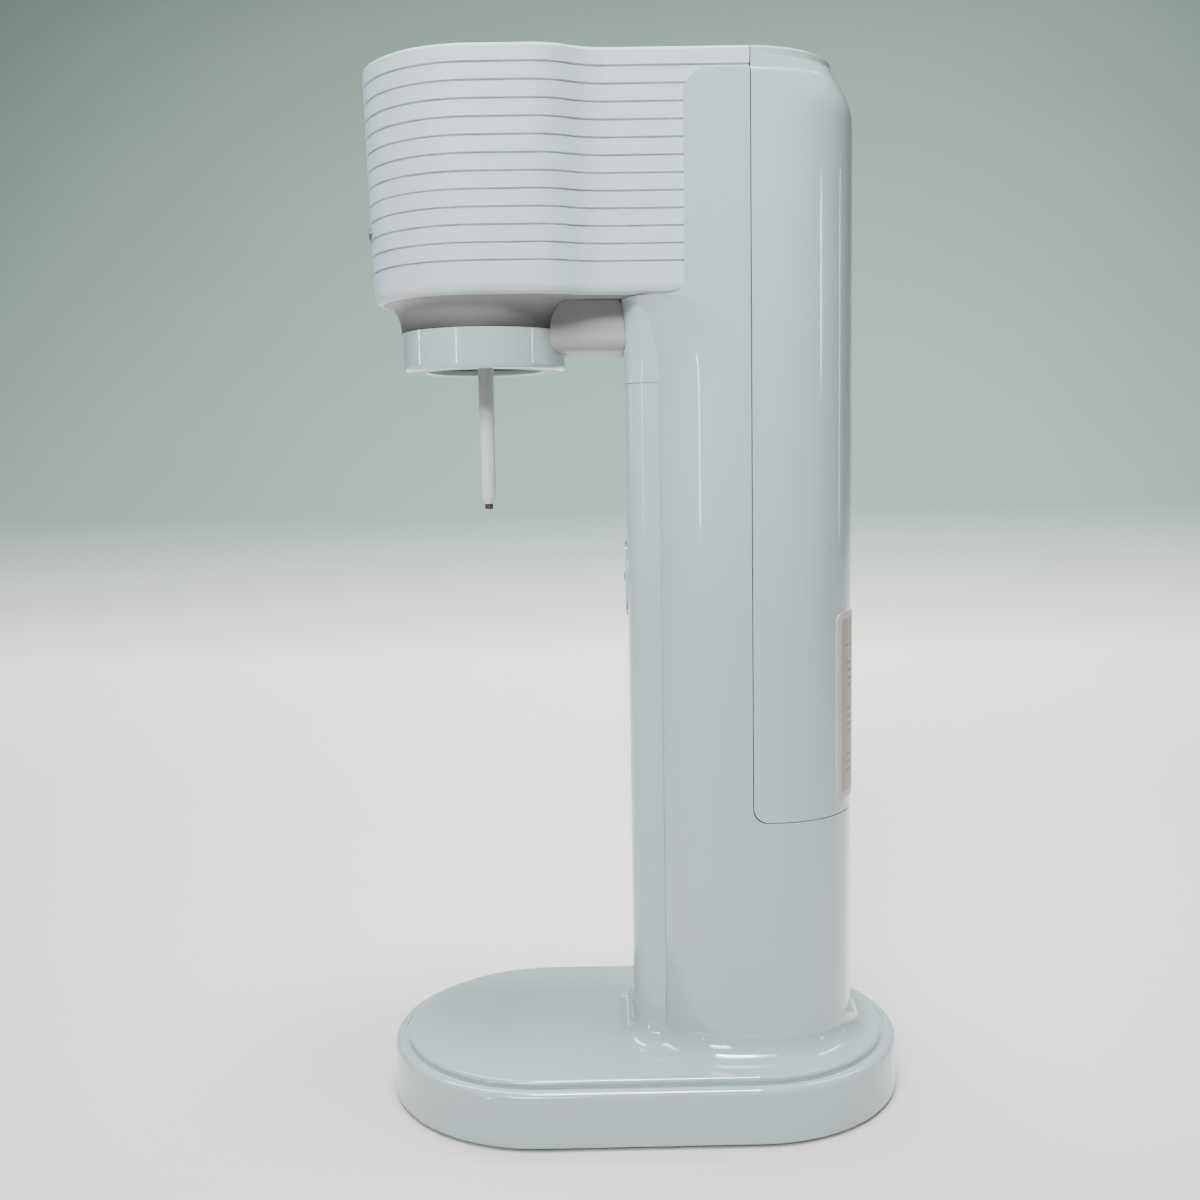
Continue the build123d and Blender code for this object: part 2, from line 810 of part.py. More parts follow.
with BuildPart() as head_under_cover:
    with BuildSketch(Plane.XY.offset(underside)):
        add(head_outline(rim_inner + touch, under_rear))
    extrude(amount=rim_level - underside)
    with BuildSketch(Plane.XY.offset(rim_level)):
        add(head_outline(head_draft + head_wall + touch, under_rear))
    extrude(amount=flange_thickness)
    # hollow middle, above the concave skirt
    with BuildSketch(Plane.XY.offset(underside)):
        with Locations((0, nozzle_y)):
            Circle(skirt_rim - 2.5)
        with Locations((0, (nozzle_y + under_rear) / 2)):
            Rectangle(2 * arm_half, under_rear - nozzle_y + 1)
    extrude(amount=rim_level + flange_thickness - underside, mode=Mode.SUBTRACT)
    # concave skirt down to the collar
    with BuildSketch(Plane.YZ):
        with BuildLine():
            Polyline(
                (nozzle_y + skirt_foot, skirt_end),
                (nozzle_y + skirt_foot - head_wall, skirt_end),
                (nozzle_y + skirt_foot - head_wall, underside + head_wall),
                (nozzle_y + skirt_rim, underside + head_wall),
                (nozzle_y + skirt_rim, underside),
            )
            EllipticalCenterArc(
                (nozzle_y + skirt_rim, skirt_end),
                skirt_rim - skirt_foot,
                skirt_drop,
                start_angle=90,
                arc_size=90,
            )
        make_face()
    revolve(axis=Axis((0, nozzle_y, 0), (0, 0, 1)))
    # posts that hang it from the chassis
    with BuildSketch(Plane.XY.offset(rim_level)):
        with Locations(*wing_places):
            Circle(post_radius)
            Circle(screw_radius + touch, mode=Mode.SUBTRACT)
    extrude(amount=shelf_bottom - rim_level)

head_under_cover.part.label = "head_under_cover"
export_step(head_under_cover.part, "parts/head_under_cover.step")

with BuildPart() as collar_ring:
    with BuildSketch(Plane.XY.offset(collar_bottom)):
        with Locations((0, nozzle_y)):
            Circle(collar_radius)
    extrude(amount=collar_height)
    fillet(collar_ring.edges().group_by(Axis.Z)[0], collar_round)
    with BuildSketch(Plane.XY.offset(collar_bottom + collar_wall)):
        with Locations((0, nozzle_y)):
            Circle(collar_radius - collar_wall)
    extrude(amount=collar_height, mode=Mode.SUBTRACT)
    with BuildSketch(Plane.XY.offset(collar_bottom - 1)):
        with Locations((0, nozzle_y)):
            Circle(collar_mouth)
    extrude(amount=collar_height, mode=Mode.SUBTRACT)
    fillet(
        collar_ring.edges().filter_by(GeomType.CIRCLE).group_by(Axis.Z)[0].sort_by(
            SortBy.RADIUS)[0],
        0.8,
    )

collar_ring.part.label = "collar_ring"
export_step(collar_ring.part, "parts/collar_ring.step")

with BuildPart() as skirt_space:
    with BuildSketch(Plane.YZ):
        with BuildLine():
            Polyline(
                (nozzle_y + skirt_rim, underside + 1),
                (nozzle_y, underside + 1),
                (nozzle_y, skirt_end - touch),
                (nozzle_y + skirt_foot + touch, skirt_end - touch),
            )
            EllipticalCenterArc(
                (nozzle_y + skirt_rim, skirt_end - touch),
                skirt_rim - skirt_foot - touch,
                skirt_drop,
                start_angle=90,
                arc_size=90,
            )
            Line(
                (nozzle_y + skirt_rim, underside - touch),
                (nozzle_y + skirt_rim, underside + 1),
            )
        make_face()
    revolve(axis=Axis((0, nozzle_y, 0), (0, 0, 1)))

neck_middle = (nozzle_y + collar_radius + neck_back) / 2 - 5
neck_length = neck_back - nozzle_y - collar_radius

with BuildPart() as neck_bridge:
    with BuildSketch(Plane.XY.offset(underside - neck_drop)):
        with Locations((0, neck_middle)):
            Rectangle(2 * neck_half, neck_length + 10)
    extrude(amount=neck_drop - touch)
    fillet(
        neck_bridge.edges().filter_by(Axis.Y).group_by(Axis.Z)[0],
        neck_round,
    )
    with BuildSketch(Plane.XY.offset(underside - neck_drop + neck_wall)):
        with Locations((0, neck_middle)):
            Rectangle(2 * (neck_half - neck_wall), neck_length + 6)
    extrude(amount=neck_drop, mode=Mode.SUBTRACT)
    with BuildSketch(Plane.XY.offset(skirt_end - neck_drop)):
        with Locations((0, nozzle_y)):
            Circle(collar_radius + touch)
    extrude(amount=neck_drop, mode=Mode.SUBTRACT)
    add(skirt_space.part, mode=Mode.SUBTRACT)
    add(nook.part.moved(Location((0, -touch, 0))), mode=Mode.SUBTRACT)
    # clear of the flare's lip
    with BuildSketch(Plane.XY.offset(lip_top - 1)):
        with Locations((0, column_front - strip_stand)):
            Rectangle(3 * neck_half, 2 * (strip_lean + 3 * touch))
    extrude(amount=2, mode=Mode.SUBTRACT)

neck_bridge.part.label = "neck_bridge"
export_step(neck_bridge.part, "parts/neck_bridge.step")

with BuildPart() as front_badge:
    with BuildSketch(Plane.XY.offset(badge_level - badge_height / 2)):
        with Locations((0, nozzle_y)):
            Circle(head_radius - draft_inset(badge_level) + badge_stand)
            Circle(head_radius - draft_inset(badge_level) + 0.1, mode=Mode.SUBTRACT)
    extrude(amount=badge_height)
    with BuildSketch(Plane.XZ.offset(-nozzle_y)):
        with Locations((0, badge_level)):
            SlotOverall(badge_width, badge_height)
    extrude(amount=2 * head_radius, mode=Mode.INTERSECT)

front_badge.part.label = "front_badge"
export_step(front_badge.part, "parts/front_badge.step")


# === Bottle socket and nozzle ==========================================================
socket_floor = collar_bottom + collar_wall + touch
socket_ceiling = socket_floor + socket_depth
socket_top = socket_ceiling + 4.0
relief_level = socket_top + relief_rise
relief_start = block_radius + touch

with BuildPart() as bottle_socket:
    with BuildSketch(Plane.XY.offset(socket_floor)):
        with Locations((0, nozzle_y)):
            Circle(collar_radius - collar_wall - touch)
    extrude(amount=socket_top - socket_floor)
    with BuildSketch(Plane.XY.offset(socket_floor)):
        with Locations((0, nozzle_y)):
            Circle(socket_radius)
    extrude(amount=socket_depth, mode=Mode.SUBTRACT)
    with BuildSketch(Plane.XY.offset(socket_ceiling)):
        with Locations((0, nozzle_y)):
            Circle(spigot_radius + touch)
    extrude(amount=socket_top - socket_ceiling, mode=Mode.SUBTRACT)
    # three lugs that hold the bottle's neck
    with BuildSketch(Plane.XY.offset(socket_floor + lug_thickness)):
        with Locations((0, nozzle_y)):
            with PolarLocations(lug_radius, 3, 90):
                Rectangle(lug_thickness, lug_width)
    extrude(amount=lug_height)

bottle_socket.part.label = "bottle_socket"
export_step(bottle_socket.part, "parts/bottle_socket.step")

with BuildPart() as bottle_seal:
    with BuildSketch(Plane.XY.offset(socket_ceiling - touch - seal_thickness)):
        with Locations((0, nozzle_y)):
            Circle(socket_radius - touch)
            Circle(spigot_radius + 1.0, mode=Mode.SUBTRACT)
    extrude(amount=seal_thickness)
    fillet(bottle_seal.edges().group_by(Axis.Z)[0], 0.8)

bottle_seal.part.label = "bottle_seal"
export_step(bottle_seal.part, "parts/bottle_seal.step")

with BuildPart() as nozzle_block:
    with BuildSketch(Plane.XY.offset(socket_ceiling - spigot_reach)):
        with Locations((0, nozzle_y)):
            Circle(spigot_radius)
    extrude(amount=2 * spigot_reach)
    with BuildSketch(Plane.XY.offset(socket_top)):
        with Locations((0, nozzle_y)):
            Circle(block_radius)
    extrude(amount=shelf_bottom - socket_top)
    with BuildSketch(Plane.XY.offset(shelf_bottom)):
        with Locations((0, nozzle_y)):
            Circle(block_neck_radius)
    extrude(amount=inlet_level + 6.0 - shelf_bottom)
    # gas inlet boss with its barb
    with BuildSketch(Plane.XZ.offset(-nozzle_y)):
        with Locations((0, inlet_level)):
            Circle(inlet_boss_radius)
    extrude(amount=-inlet_boss_reach)
    with BuildSketch(Plane.XZ.offset(-nozzle_y)):
        with Locations((0, inlet_level)):
            Circle(barb_radius)
    extrude(amount=-inlet_barb_reach)
    # bores: tube seat, gas way up, gas way in, relief port
    with BuildSketch(Plane.XY.offset(socket_ceiling - spigot_reach - 1)):
        with Locations((0, nozzle_y)):
            Circle(tube_radius + snug)
    extrude(amount=tube_seat_top - socket_ceiling + spigot_reach + 1, mode=Mode.SUBTRACT)
    with BuildSketch(Plane.XY.offset(tube_seat_top - 1)):
        with Locations((0, nozzle_y)):
            Circle(gas_way_radius)
    extrude(amount=inlet_level - tube_seat_top + 2, mode=Mode.SUBTRACT)
    with BuildSketch(Plane.XZ.offset(-nozzle_y)):
        with Locations((0, inlet_level)):
            Circle(inlet_way_radius)
    extrude(amount=-inlet_barb_reach - 1, mode=Mode.SUBTRACT)
    with BuildSketch(Plane.YZ):
        with Locations((nozzle_y, relief_level)):
            Circle(gas_way_radius)
    extrude(amount=block_radius + 1, mode=Mode.SUBTRACT)

nozzle_block.part.label = "nozzle_block"
export_step(nozzle_block.part, "parts/nozzle_block.step")

tube_end = collar_bottom - tube_reach
with BuildPart() as carbonating_tube:
    with BuildSketch(Plane.YZ):
        with BuildLine():
            Polyline(
                (nozzle_y + tube_bore_radius, tube_seat_top - touch),
                (nozzle_y + tube_radius, tube_seat_top - touch),
                (nozzle_y + tube_radius, collar_bottom + 2),
                (nozzle_y + tube_tip_radius, tube_end + 3.0),
                (nozzle_y + tip_seal_radius, tube_end),
                (nozzle_y + tube_bore_radius, tube_end),
                close=True,
            )
        make_face()
    revolve(axis=Axis((0, nozzle_y, 0), (0, 0, 1)))

carbonating_tube.part.label = "carbonating_tube"
export_step(carbonating_tube.part, "parts/carbonating_tube.step")

with BuildPart() as tip_seal:
    with BuildSketch(Plane.XY.offset(tube_end)):
        with Locations((0, nozzle_y)):
            Circle(tip_seal_radius + 0.1)
            Circle(tube_bore_radius, mode=Mode.SUBTRACT)
    extrude(amount=-tip_seal_height)
    fillet(tip_seal.edges().filter_by(GeomType.CIRCLE).sort_by(SortBy.RADIUS)[-2:], 0.5)

tip_seal.part.label = "tip_seal"
export_step(tip_seal.part, "parts/tip_seal.step")

with BuildPart() as nozzle_tip:
    with BuildSketch(Plane.YZ):
        with BuildLine():
            Polyline(
                (nozzle_y + 0.3, tube_end + 6.0),
                (nozzle_y + tip_radius, tube_end + 6.0),
                (nozzle_y + tip_radius, tube_end - tip_seal_height),
                (nozzle_y + tip_radius - 0.2, tube_end - tip_seal_height - 0.6),
                (nozzle_y + tip_radius / 2, tube_end - tip_seal_height - tip_length),
                (nozzle_y + 0.3, tube_end - tip_seal_height - tip_length),
                close=True,
            )
        make_face()
    revolve(axis=Axis((0, nozzle_y, 0), (0, 0, 1)))

nozzle_tip.part.label = "nozzle_tip"
export_step(nozzle_tip.part, "parts/nozzle_tip.step")

with BuildPart() as relief_body:
    with BuildSketch(Plane.YZ.offset(relief_start)):
        with Locations((nozzle_y, relief_level)):
            Circle(relief_radius)
            Circle(relief_radius - relief_wall, mode=Mode.SUBTRACT)
    extrude(amount=relief_length)

relief_body.part.label = "relief_body"
export_step(relief_body.part, "parts/relief_body.step")

with BuildPart() as relief_poppet:
    with BuildSketch(Plane.YZ.offset(relief_start + touch)):
        with Locations((nozzle_y, relief_level)):
            Circle(relief_radius - relief_wall - touch)
    extrude(amount=poppet_thickness)
    chamfer(relief_poppet.edges().group_by(Axis.X)[0], 0.8)

relief_poppet.part.label = "relief_poppet"
export_step(relief_poppet.part, "parts/relief_poppet.step")

with BuildPart() as relief_cap:
    with BuildSketch(Plane.YZ.offset(relief_start + relief_length)):
        with Locations((nozzle_y, relief_level)):
            RegularPolygon(relief_radius, 6)
            Circle(gas_way_radius, mode=Mode.SUBTRACT)
    extrude(amount=relief_cap_thickness)

relief_cap.part.label = "relief_cap"
export_step(relief_cap.part, "parts/relief_cap.step")

relief_spring = Location(
    (relief_start + touch + 2.6, nozzle_y, relief_level), (0, 90, 0)
) * coil(2.6, 0.7, relief_length - touch - 2.8, 4)
relief_spring.label = "relief_spring"
export_step(relief_spring, "parts/relief_spring.step")


# === Chassis and gas way ===============================================================
rail_x = arm_half + 1.0
rail_back = cylinder_y - sqrt((cylinder_radius + 0.7) ** 2 - rail_x**2)
rail_front = rail_back - rail_thickness
ear_inner = lever_half + 1.0
ear_outer = ear_inner + 3.0
ear_half = 5.0
shelf_back = lever_hinge_y + ear_half + 4.0
socket_body_radius = valve_radius + 2.5

with BuildPart() as chassis:
    with BuildSketch(Plane.XY.offset(plateau)):
        column_outline(column_wall + 1.0)
    extrude(amount=cylinder_floor - plateau)
    with BuildSketch(Plane.XY.offset(plateau)):
        with Locations((rail_x + rail_width / 2, (rail_front + rail_back) / 2),
                       (-rail_x - rail_width / 2, (rail_front + rail_back) / 2)):
            Rectangle(rail_width, rail_thickness)
    extrude(amount=shelf_bottom - plateau)
    # shelf, with the arm that reaches into the head
    with BuildSketch(Plane.XY.offset(shelf_bottom)):
        column_outline(column_wall + 1.2)
        with Locations((0, shelf_back + column_depth / 2)):
            Rectangle(column_width, column_depth, mode=Mode.SUBTRACT)
        with Locations((0, (nozzle_y - arm_reach + cylinder_y) / 2)):
            Rectangle(2 * arm_half, cylinder_y - nozzle_y + arm_reach)
        with Locations(*wing_places):
            Rectangle(2 * post_radius + 2, 2 * post_radius)
        with Locations((0, cylinder_y)):
            Circle(valve_radius + 1.5, mode=Mode.SUBTRACT)
        with Locations((0, nozzle_y)):
            Circle(block_neck_radius + touch, mode=Mode.SUBTRACT)
        with Locations(*wing_places, *head_post_places, *flange_places, *ledge_places):
            Circle(screw_radius + touch, mode=Mode.SUBTRACT)
    extrude(amount=chassis_thickness)
    # ears that carry the lever's pin
    with BuildSketch(Plane.YZ.offset(ear_inner)):
        with Locations((lever_hinge_y, (shelf_top + lever_axis_z) / 2)):
            Rectangle(2 * ear_half, lever_axis_z - shelf_top)
        with Locations((lever_hinge_y, lever_axis_z)):
            Circle(ear_half)
            Circle(hinge_pin_radius + snug, mode=Mode.SUBTRACT)
    ear = extrude(amount=ear_outer - ear_inner)
    mirror(ear, about=Plane.YZ)

chassis.part.label = "chassis"
export_step(chassis.part, "parts/chassis.step")

with BuildPart() as chassis_screws:
    for places, seat, way in (
        (wing_places, shelf_top, 1),
        (ledge_places, shelf_top, 1),
        (head_post_places, shelf_bottom, -1),
        (flange_places, shelf_top + flange_height, 1),
    ):
        with BuildSketch(Plane.XY.offset(seat)):
            with Locations(*places):
                Circle(2 * screw_radius)
        extrude(amount=way * 1.6)
        with BuildSketch(Plane.XY.offset(seat)):
            with Locations(*places):
                Circle(screw_radius)
        extrude(amount=-way * 7.0)

chassis_screws.part.label = "chassis_screws"
export_step(chassis_screws.part, "parts/chassis_screws.step")

with BuildPart() as cylinder_cradle:
    with BuildSketch(Plane.XY.offset(cradle_level)):
        with Locations((0, cylinder_y)):
            Circle(cylinder_radius + cradle_gap + 3.0)
            Circle(cylinder_radius + cradle_gap, mode=Mode.SUBTRACT)
        with Locations((0, cylinder_y + column_depth / 2 + 4)):
            Rectangle(column_width, column_depth, mode=Mode.SUBTRACT)
        with Locations((rail_x + rail_width / 2, rail_back - 10 + touch),
                       (-rail_x - rail_width / 2, rail_back - 10 + touch)):
            Rectangle(rail_width + 2 * touch, 20, mode=Mode.SUBTRACT)
    extrude(amount=cradle_height)

cylinder_cradle.part.label = "cylinder_cradle"
export_step(cylinder_cradle.part, "parts/cylinder_cradle.step")

body_top = cylinder_top - cylinder_shoulder
cylinder_side = cylinder_y + cylinder_radius
foot_in = cylinder_side - cylinder_foot_round
bore_side = cylinder_side - cylinder_wall

with BuildPart() as gas_cylinder:
    with BuildSketch(Plane.YZ):
        with BuildLine():
            Polyline(
                (cylinder_y, cylinder_bottom + cylinder_dish),
                (cylinder_y + cylinder_neck, cylinder_bottom + cylinder_dish - 1.5),
                (foot_in - 2, cylinder_bottom),
                (foot_in, cylinder_bottom),
            )
            RadiusArc(
                (foot_in, cylinder_bottom),
                (cylinder_side, cylinder_bottom + cylinder_foot_round),
                -cylinder_foot_round,
            )
            Line(
                (cylinder_side, cylinder_bottom + cylinder_foot_round),
                (cylinder_side, body_top),
            )
            RadiusArc(
                (cylinder_side, body_top),
                (cylinder_y + cylinder_neck, cylinder_top),
                -cylinder_shoulder_round,
            )
            Polyline(
                (cylinder_y + cylinder_neck, cylinder_top),
                (cylinder_y, cylinder_top),
                (cylinder_y, cylinder_bottom + cylinder_dish),
            )
        make_face()
    revolve(axis=Axis((0, cylinder_y, 0), (0, 0, 1)))
    with BuildSketch(Plane.YZ):
        with BuildLine():
            Polyline(
                (cylinder_y, cylinder_bottom + cylinder_dish + 2 * cylinder_wall),
                (foot_in - 2, cylinder_bottom + 2 * cylinder_dish),
                (bore_side, cylinder_bottom + 20),
                (bore_side, body_top),
                (cylinder_y + cylinder_neck + 2, cylinder_top - 7),
                (cylinder_y, cylinder_top - 6),
                close=True,
            )
        make_face()
    revolve(axis=Axis((0, cylinder_y, 0), (0, 0, 1)), mode=Mode.SUBTRACT)

gas_cylinder.part.label = "gas_cylinder"
export_step(gas_cylinder.part, "parts/gas_cylinder.step")

with BuildPart() as cylinder_valve:
    with BuildSketch(Plane.XY.offset(cylinder_top)):
        with Locations((0, cylinder_y)):
            Circle(valve_radius)
    extrude(amount=shelf_top - 1.5 - cylinder_top)
    with BuildSketch(Plane.XY.offset(shelf_top - 1.5)):
        with Locations((0, cylinder_y)):
            Circle(thread_radius)
    extrude(amount=valve_top - shelf_top + 1.5)
    chamfer(cylinder_valve.edges().group_by(Axis.Z)[-1], 0.8)
    with BuildSketch(Plane.XY.offset(valve_top)):
        with Locations((0, cylinder_y)):
            Circle(stem_radius)
    extrude(amount=stem_top - valve_top)

cylinder_valve.part.label = "cylinder_valve"
export_step(cylinder_valve.part, "parts/cylinder_valve.step")

seal_top = valve_top + 2.0
port_boss_reach = 4.0
port_barb_reach = 10.0
with BuildPart() as gas_socket:
    with BuildSketch(Plane.XY.offset(shelf_top)):
        with Locations((0, cylinder_y)):
            RectangleRounded(2 * flange_half, flange_depth, 4.0)
        with Locations(*flange_places):
            Circle(screw_radius + touch, mode=Mode.SUBTRACT)
    extrude(amount=flange_height)
    with BuildSketch(Plane.XY.offset(shelf_top)):
        with Locations((0, cylinder_y)):
            Circle(socket_body_radius)
    extrude(amount=gas_socket_top - shelf_top)
    with BuildSketch(Plane.XZ.offset(-cylinder_y)):
        with Locations((0, port_level)):
            Circle(inlet_boss_radius)
    extrude(amount=socket_body_radius + port_boss_reach)
    with BuildSketch(Plane.XZ.offset(-cylinder_y)):
        with Locations((0, port_level)):
            Circle(barb_radius)
    extrude(amount=socket_body_radius + port_barb_reach)
    with BuildSketch(Plane.XY.offset(shelf_top)):
        with Locations((0, cylinder_y)):
            Circle(thread_radius + 0.35)
    extrude(amount=seal_top - shelf_top, mode=Mode.SUBTRACT)
    with BuildSketch(Plane.XY.offset(shelf_top)):
        with Locations((0, cylinder_y)):
            Circle(valve_pin_radius + running)
    extrude(amount=gas_socket_top - shelf_top, mode=Mode.SUBTRACT)
    with BuildSketch(Plane.XZ.offset(-cylinder_y)):
        with Locations((0, port_level)):
            Circle(inlet_way_radius)
    extrude(amount=socket_body_radius + port_barb_reach + 1, mode=Mode.SUBTRACT)

gas_socket.part.label = "gas_socket"
export_step(gas_socket.part, "parts/gas_socket.step")

with BuildPart() as cylinder_seal:
    with BuildSketch(Plane.XY.offset(valve_top + touch)):
        with Locations((0, cylinder_y)):
            Circle(thread_radius - 0.5)
            Circle(stem_radius + 1.5, mode=Mode.SUBTRACT)
    extrude(amount=seal_top - valve_top - touch)

cylinder_seal.part.label = "cylinder_seal"
export_step(cylinder_seal.part, "parts/cylinder_seal.step")

with BuildPart() as valve_pin:
    with BuildSketch(Plane.XY.offset(stem_top + 1.3)):
        with Locations((0, cylinder_y)):
            Circle(valve_pin_radius)
    extrude(amount=lever_bottom - 0.3 - stem_top - 1.3)
    with BuildSketch(Plane.XY.offset(lever_bottom - 0.3)):
        with Locations((0, cylinder_y)):
            Circle(valve_pin_radius + 1.6)
    extrude(amount=-2.5)

valve_pin.part.label = "valve_pin"
export_step(valve_pin.part, "parts/valve_pin.step")

hose_start = cylinder_y - socket_body_radius - port_boss_reach
hose_stop = nozzle_y + inlet_boss_reach
hose_bends = [
    (0, hose_start, port_level),
    (0, hose_start - 22.0, port_level),
    (0, hose_stop + 20.0, inlet_level),
    (0, hose_stop, inlet_level),
]
with BuildPart() as gas_hose:
    with BuildLine() as hose_path:
        FilletPolyline(*hose_bends, radius=30.0)
    with BuildSketch(Plane.XZ.offset(-hose_start)):
        with Locations((0, port_level)):
            Circle(hose_radius)
            Circle(barb_radius + snug, mode=Mode.SUBTRACT)
    sweep()

gas_hose.part.label = "gas_hose"
export_step(gas_hose.part, "parts/gas_hose.step")

with BuildPart() as press_lever:
    with BuildSketch(Plane.YZ.offset(-lever_half)):
        with Locations(((nozzle_y - 5.0 + lever_hinge_y) / 2, lever_axis_z)):
            Rectangle(lever_hinge_y - nozzle_y + 5.0, lever_height)
        with Locations((lever_hinge_y, lever_axis_z)):
            Circle(ear_half)
            Circle(hinge_pin_radius + running, mode=Mode.SUBTRACT)
    extrude(amount=2 * lever_half)
    fillet(press_lever.edges().filter_by(Axis.Z).group_by(Axis.Y)[0], 3.0)

press_lever.part.label = "press_lever"
export_step(press_lever.part, "parts/press_lever.step")

with BuildPart() as lever_pin:
    with BuildSketch(Plane.YZ.offset(-ear_outer - 1.0)):
        with Locations((lever_hinge_y, lever_axis_z)):
            Circle(hinge_pin_radius)
    extrude(amount=2 * ear_outer + 2.0)
    chamfer(lever_pin.edges().filter_by(GeomType.CIRCLE), 0.4)

lever_pin.part.label = "lever_pin"
export_step(lever_pin.part, "parts/lever_pin.step")


# === Buttons ===========================================================================
guide_bore = button_radius + 1.0
guide_wall = 2.0
guide_flange = 2.5
guide_floor = lever_top + 3.0
cap_thickness = button_stand + 3.0
cap_bottom = head_top + button_stand - cap_thickness
skirt_reach = cap_bottom - guide_floor - guide_wall - button_travel - 1.0

with BuildPart() as button_guide:
    with BuildSketch(Plane.XY.offset(guide_floor)):
        with Locations((0, nozzle_y)):
            Circle(guide_bore + guide_wall)
    extrude(amount=head_top - head_wall - touch - guide_floor)
    with BuildSketch(Plane.XY.offset(head_top - head_wall - touch - guide_flange)):
        with Locations((0, nozzle_y)):
            Circle(guide_bore + 2 * guide_flange)
    extrude(amount=guide_flange)
    with BuildSketch(Plane.XY.offset(guide_floor + guide_wall)):
        with Locations((0, nozzle_y)):
            Circle(guide_bore)
    extrude(amount=head_height, mode=Mode.SUBTRACT)
    with BuildSketch(Plane.XY.offset(guide_floor)):
        with Locations((0, nozzle_y)):
            Circle(plunger_radius + running)
    extrude(amount=3.0, mode=Mode.SUBTRACT)

button_guide.part.label = "button_guide"
export_step(button_guide.part, "parts/button_guide.step")

with BuildPart() as fizz_button:
    with BuildSketch(Plane.XY.offset(cap_bottom)):
        with Locations((0, nozzle_y)):
            Circle(button_radius)
    extrude(amount=cap_thickness)
    fillet(fizz_button.edges().group_by(Axis.Z)[-1], 1.2)
    with BuildSketch(Plane.XY.offset(cap_bottom)):
        with Locations((0, nozzle_y)):
            Circle(button_radius)
            Circle(button_radius - guide_wall, mode=Mode.SUBTRACT)
    extrude(amount=-skirt_reach)
    with BuildSketch(Plane.XY.offset(cap_bottom)):
        with Locations((0, nozzle_y)):
            Circle(plunger_radius)
    extrude(amount=lever_top + 0.3 - cap_bottom)

fizz_button.part.label = "fizz_button"
export_step(fizz_button.part, "parts/fizz_button.step")

fizz_button_spring = Location((0, nozzle_y, guide_floor + guide_wall)) * coil(
    10.0, 1.4, cap_bottom - guide_floor - guide_wall, 4
)
fizz_button_spring.label = "fizz_button_spring"
export_step(fizz_button_spring, "parts/fizz_button_spring.step")

release_back = column_front + 1.0
yoke_gap = 1.0
yoke_thickness = 2.0
yoke_height = 12.0
yoke_front = column_front + column_wall + yoke_gap
yoke_rear = cover_seam + 0.8
spring_x = rail_x + 2.2
seat_radius = 2.8
spring_seat = rail_front - release_travel - seat_radius

with BuildPart() as release_button:
    with BuildSketch(Plane.XY.offset(release_level - release_height / 2)):
        add(strip_outline(release_stand))
    extrude(amount=release_height)
    with BuildSketch(Plane.XZ.offset(-release_back)):
        with Locations((0, release_level)):
            RectangleRounded(release_width, release_height, release_corner)
    extrude(amount=20, mode=Mode.INTERSECT)
    with BuildSketch(Plane.XZ.offset(-release_back)):
        with Locations((0, release_level)):
            Circle(4.0)
    extrude(amount=release_back - yoke_front)

release_button.part.label = "release_button"
export_step(release_button.part, "parts/release_button.step")

with BuildPart() as release_yoke:
    with BuildSketch(Plane.XY.offset(release_level - yoke_height / 2)):
        column_outline(column_wall + yoke_gap)
        column_outline(column_wall + yoke_gap + yoke_thickness, mode=Mode.SUBTRACT)
        with Locations((0, yoke_rear + column_depth / 2)):
            Rectangle(column_width, column_depth, mode=Mode.SUBTRACT)
    extrude(amount=yoke_height)
    with BuildSketch(Plane.XZ.offset(-spring_seat)):
        with Locations((spring_x, release_level), (-spring_x, release_level)):
            Circle(seat_radius)
    extrude(amount=spring_seat - yoke_front)
    with BuildSketch(Plane.XY.offset(release_level - yoke_height / 2)):
        column_outline(column_wall + yoke_gap)
    extrude(amount=yoke_height, mode=Mode.INTERSECT)

release_yoke.part.label = "release_yoke"
export_step(release_yoke.part, "parts/release_yoke.step")

small_coil = coil(1.9, 0.5, rail_front - spring_seat, 4)
release_springs = Compound(
    children=[
        Location((side * spring_x, spring_seat, release_level), (-90, 0, 0)) * small_coil
        for side in (-1, 1)
    ]
)
release_springs.label = "release_springs"
export_step(release_springs, "parts/release_springs.step")
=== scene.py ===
import math

import bmesh
import bpy
from mathutils import Matrix, Vector


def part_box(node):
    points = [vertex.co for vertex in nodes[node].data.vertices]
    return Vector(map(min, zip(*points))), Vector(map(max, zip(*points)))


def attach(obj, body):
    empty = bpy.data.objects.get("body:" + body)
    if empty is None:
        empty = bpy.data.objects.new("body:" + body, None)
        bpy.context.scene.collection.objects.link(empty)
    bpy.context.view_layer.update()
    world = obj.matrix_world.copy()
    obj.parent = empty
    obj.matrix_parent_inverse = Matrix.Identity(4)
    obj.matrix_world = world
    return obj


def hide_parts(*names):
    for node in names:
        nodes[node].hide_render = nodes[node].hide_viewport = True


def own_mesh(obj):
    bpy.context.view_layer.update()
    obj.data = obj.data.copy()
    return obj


# A countertop soda carbonator. Metres, +Z up, the front faces -Y.
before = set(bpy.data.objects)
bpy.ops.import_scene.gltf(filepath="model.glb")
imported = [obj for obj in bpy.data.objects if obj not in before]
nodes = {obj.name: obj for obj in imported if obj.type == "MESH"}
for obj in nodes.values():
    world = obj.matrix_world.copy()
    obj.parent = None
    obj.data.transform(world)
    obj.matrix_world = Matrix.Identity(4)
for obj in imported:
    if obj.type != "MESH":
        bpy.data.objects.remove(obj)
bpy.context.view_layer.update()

MM = 0.001
GROOVE_TOP = 0.418          # centre of the head's first groove
GROOVE_PITCH = 0.00657
GROOVES = 12
GROOVE_SHARE = 0.075        # half of a groove's width, as a share of the pitch
SEAM_Z = 0.3345             # height of the underside's seam with the head
LABEL_LOW = 0.129           # where the label's print rows are counted from
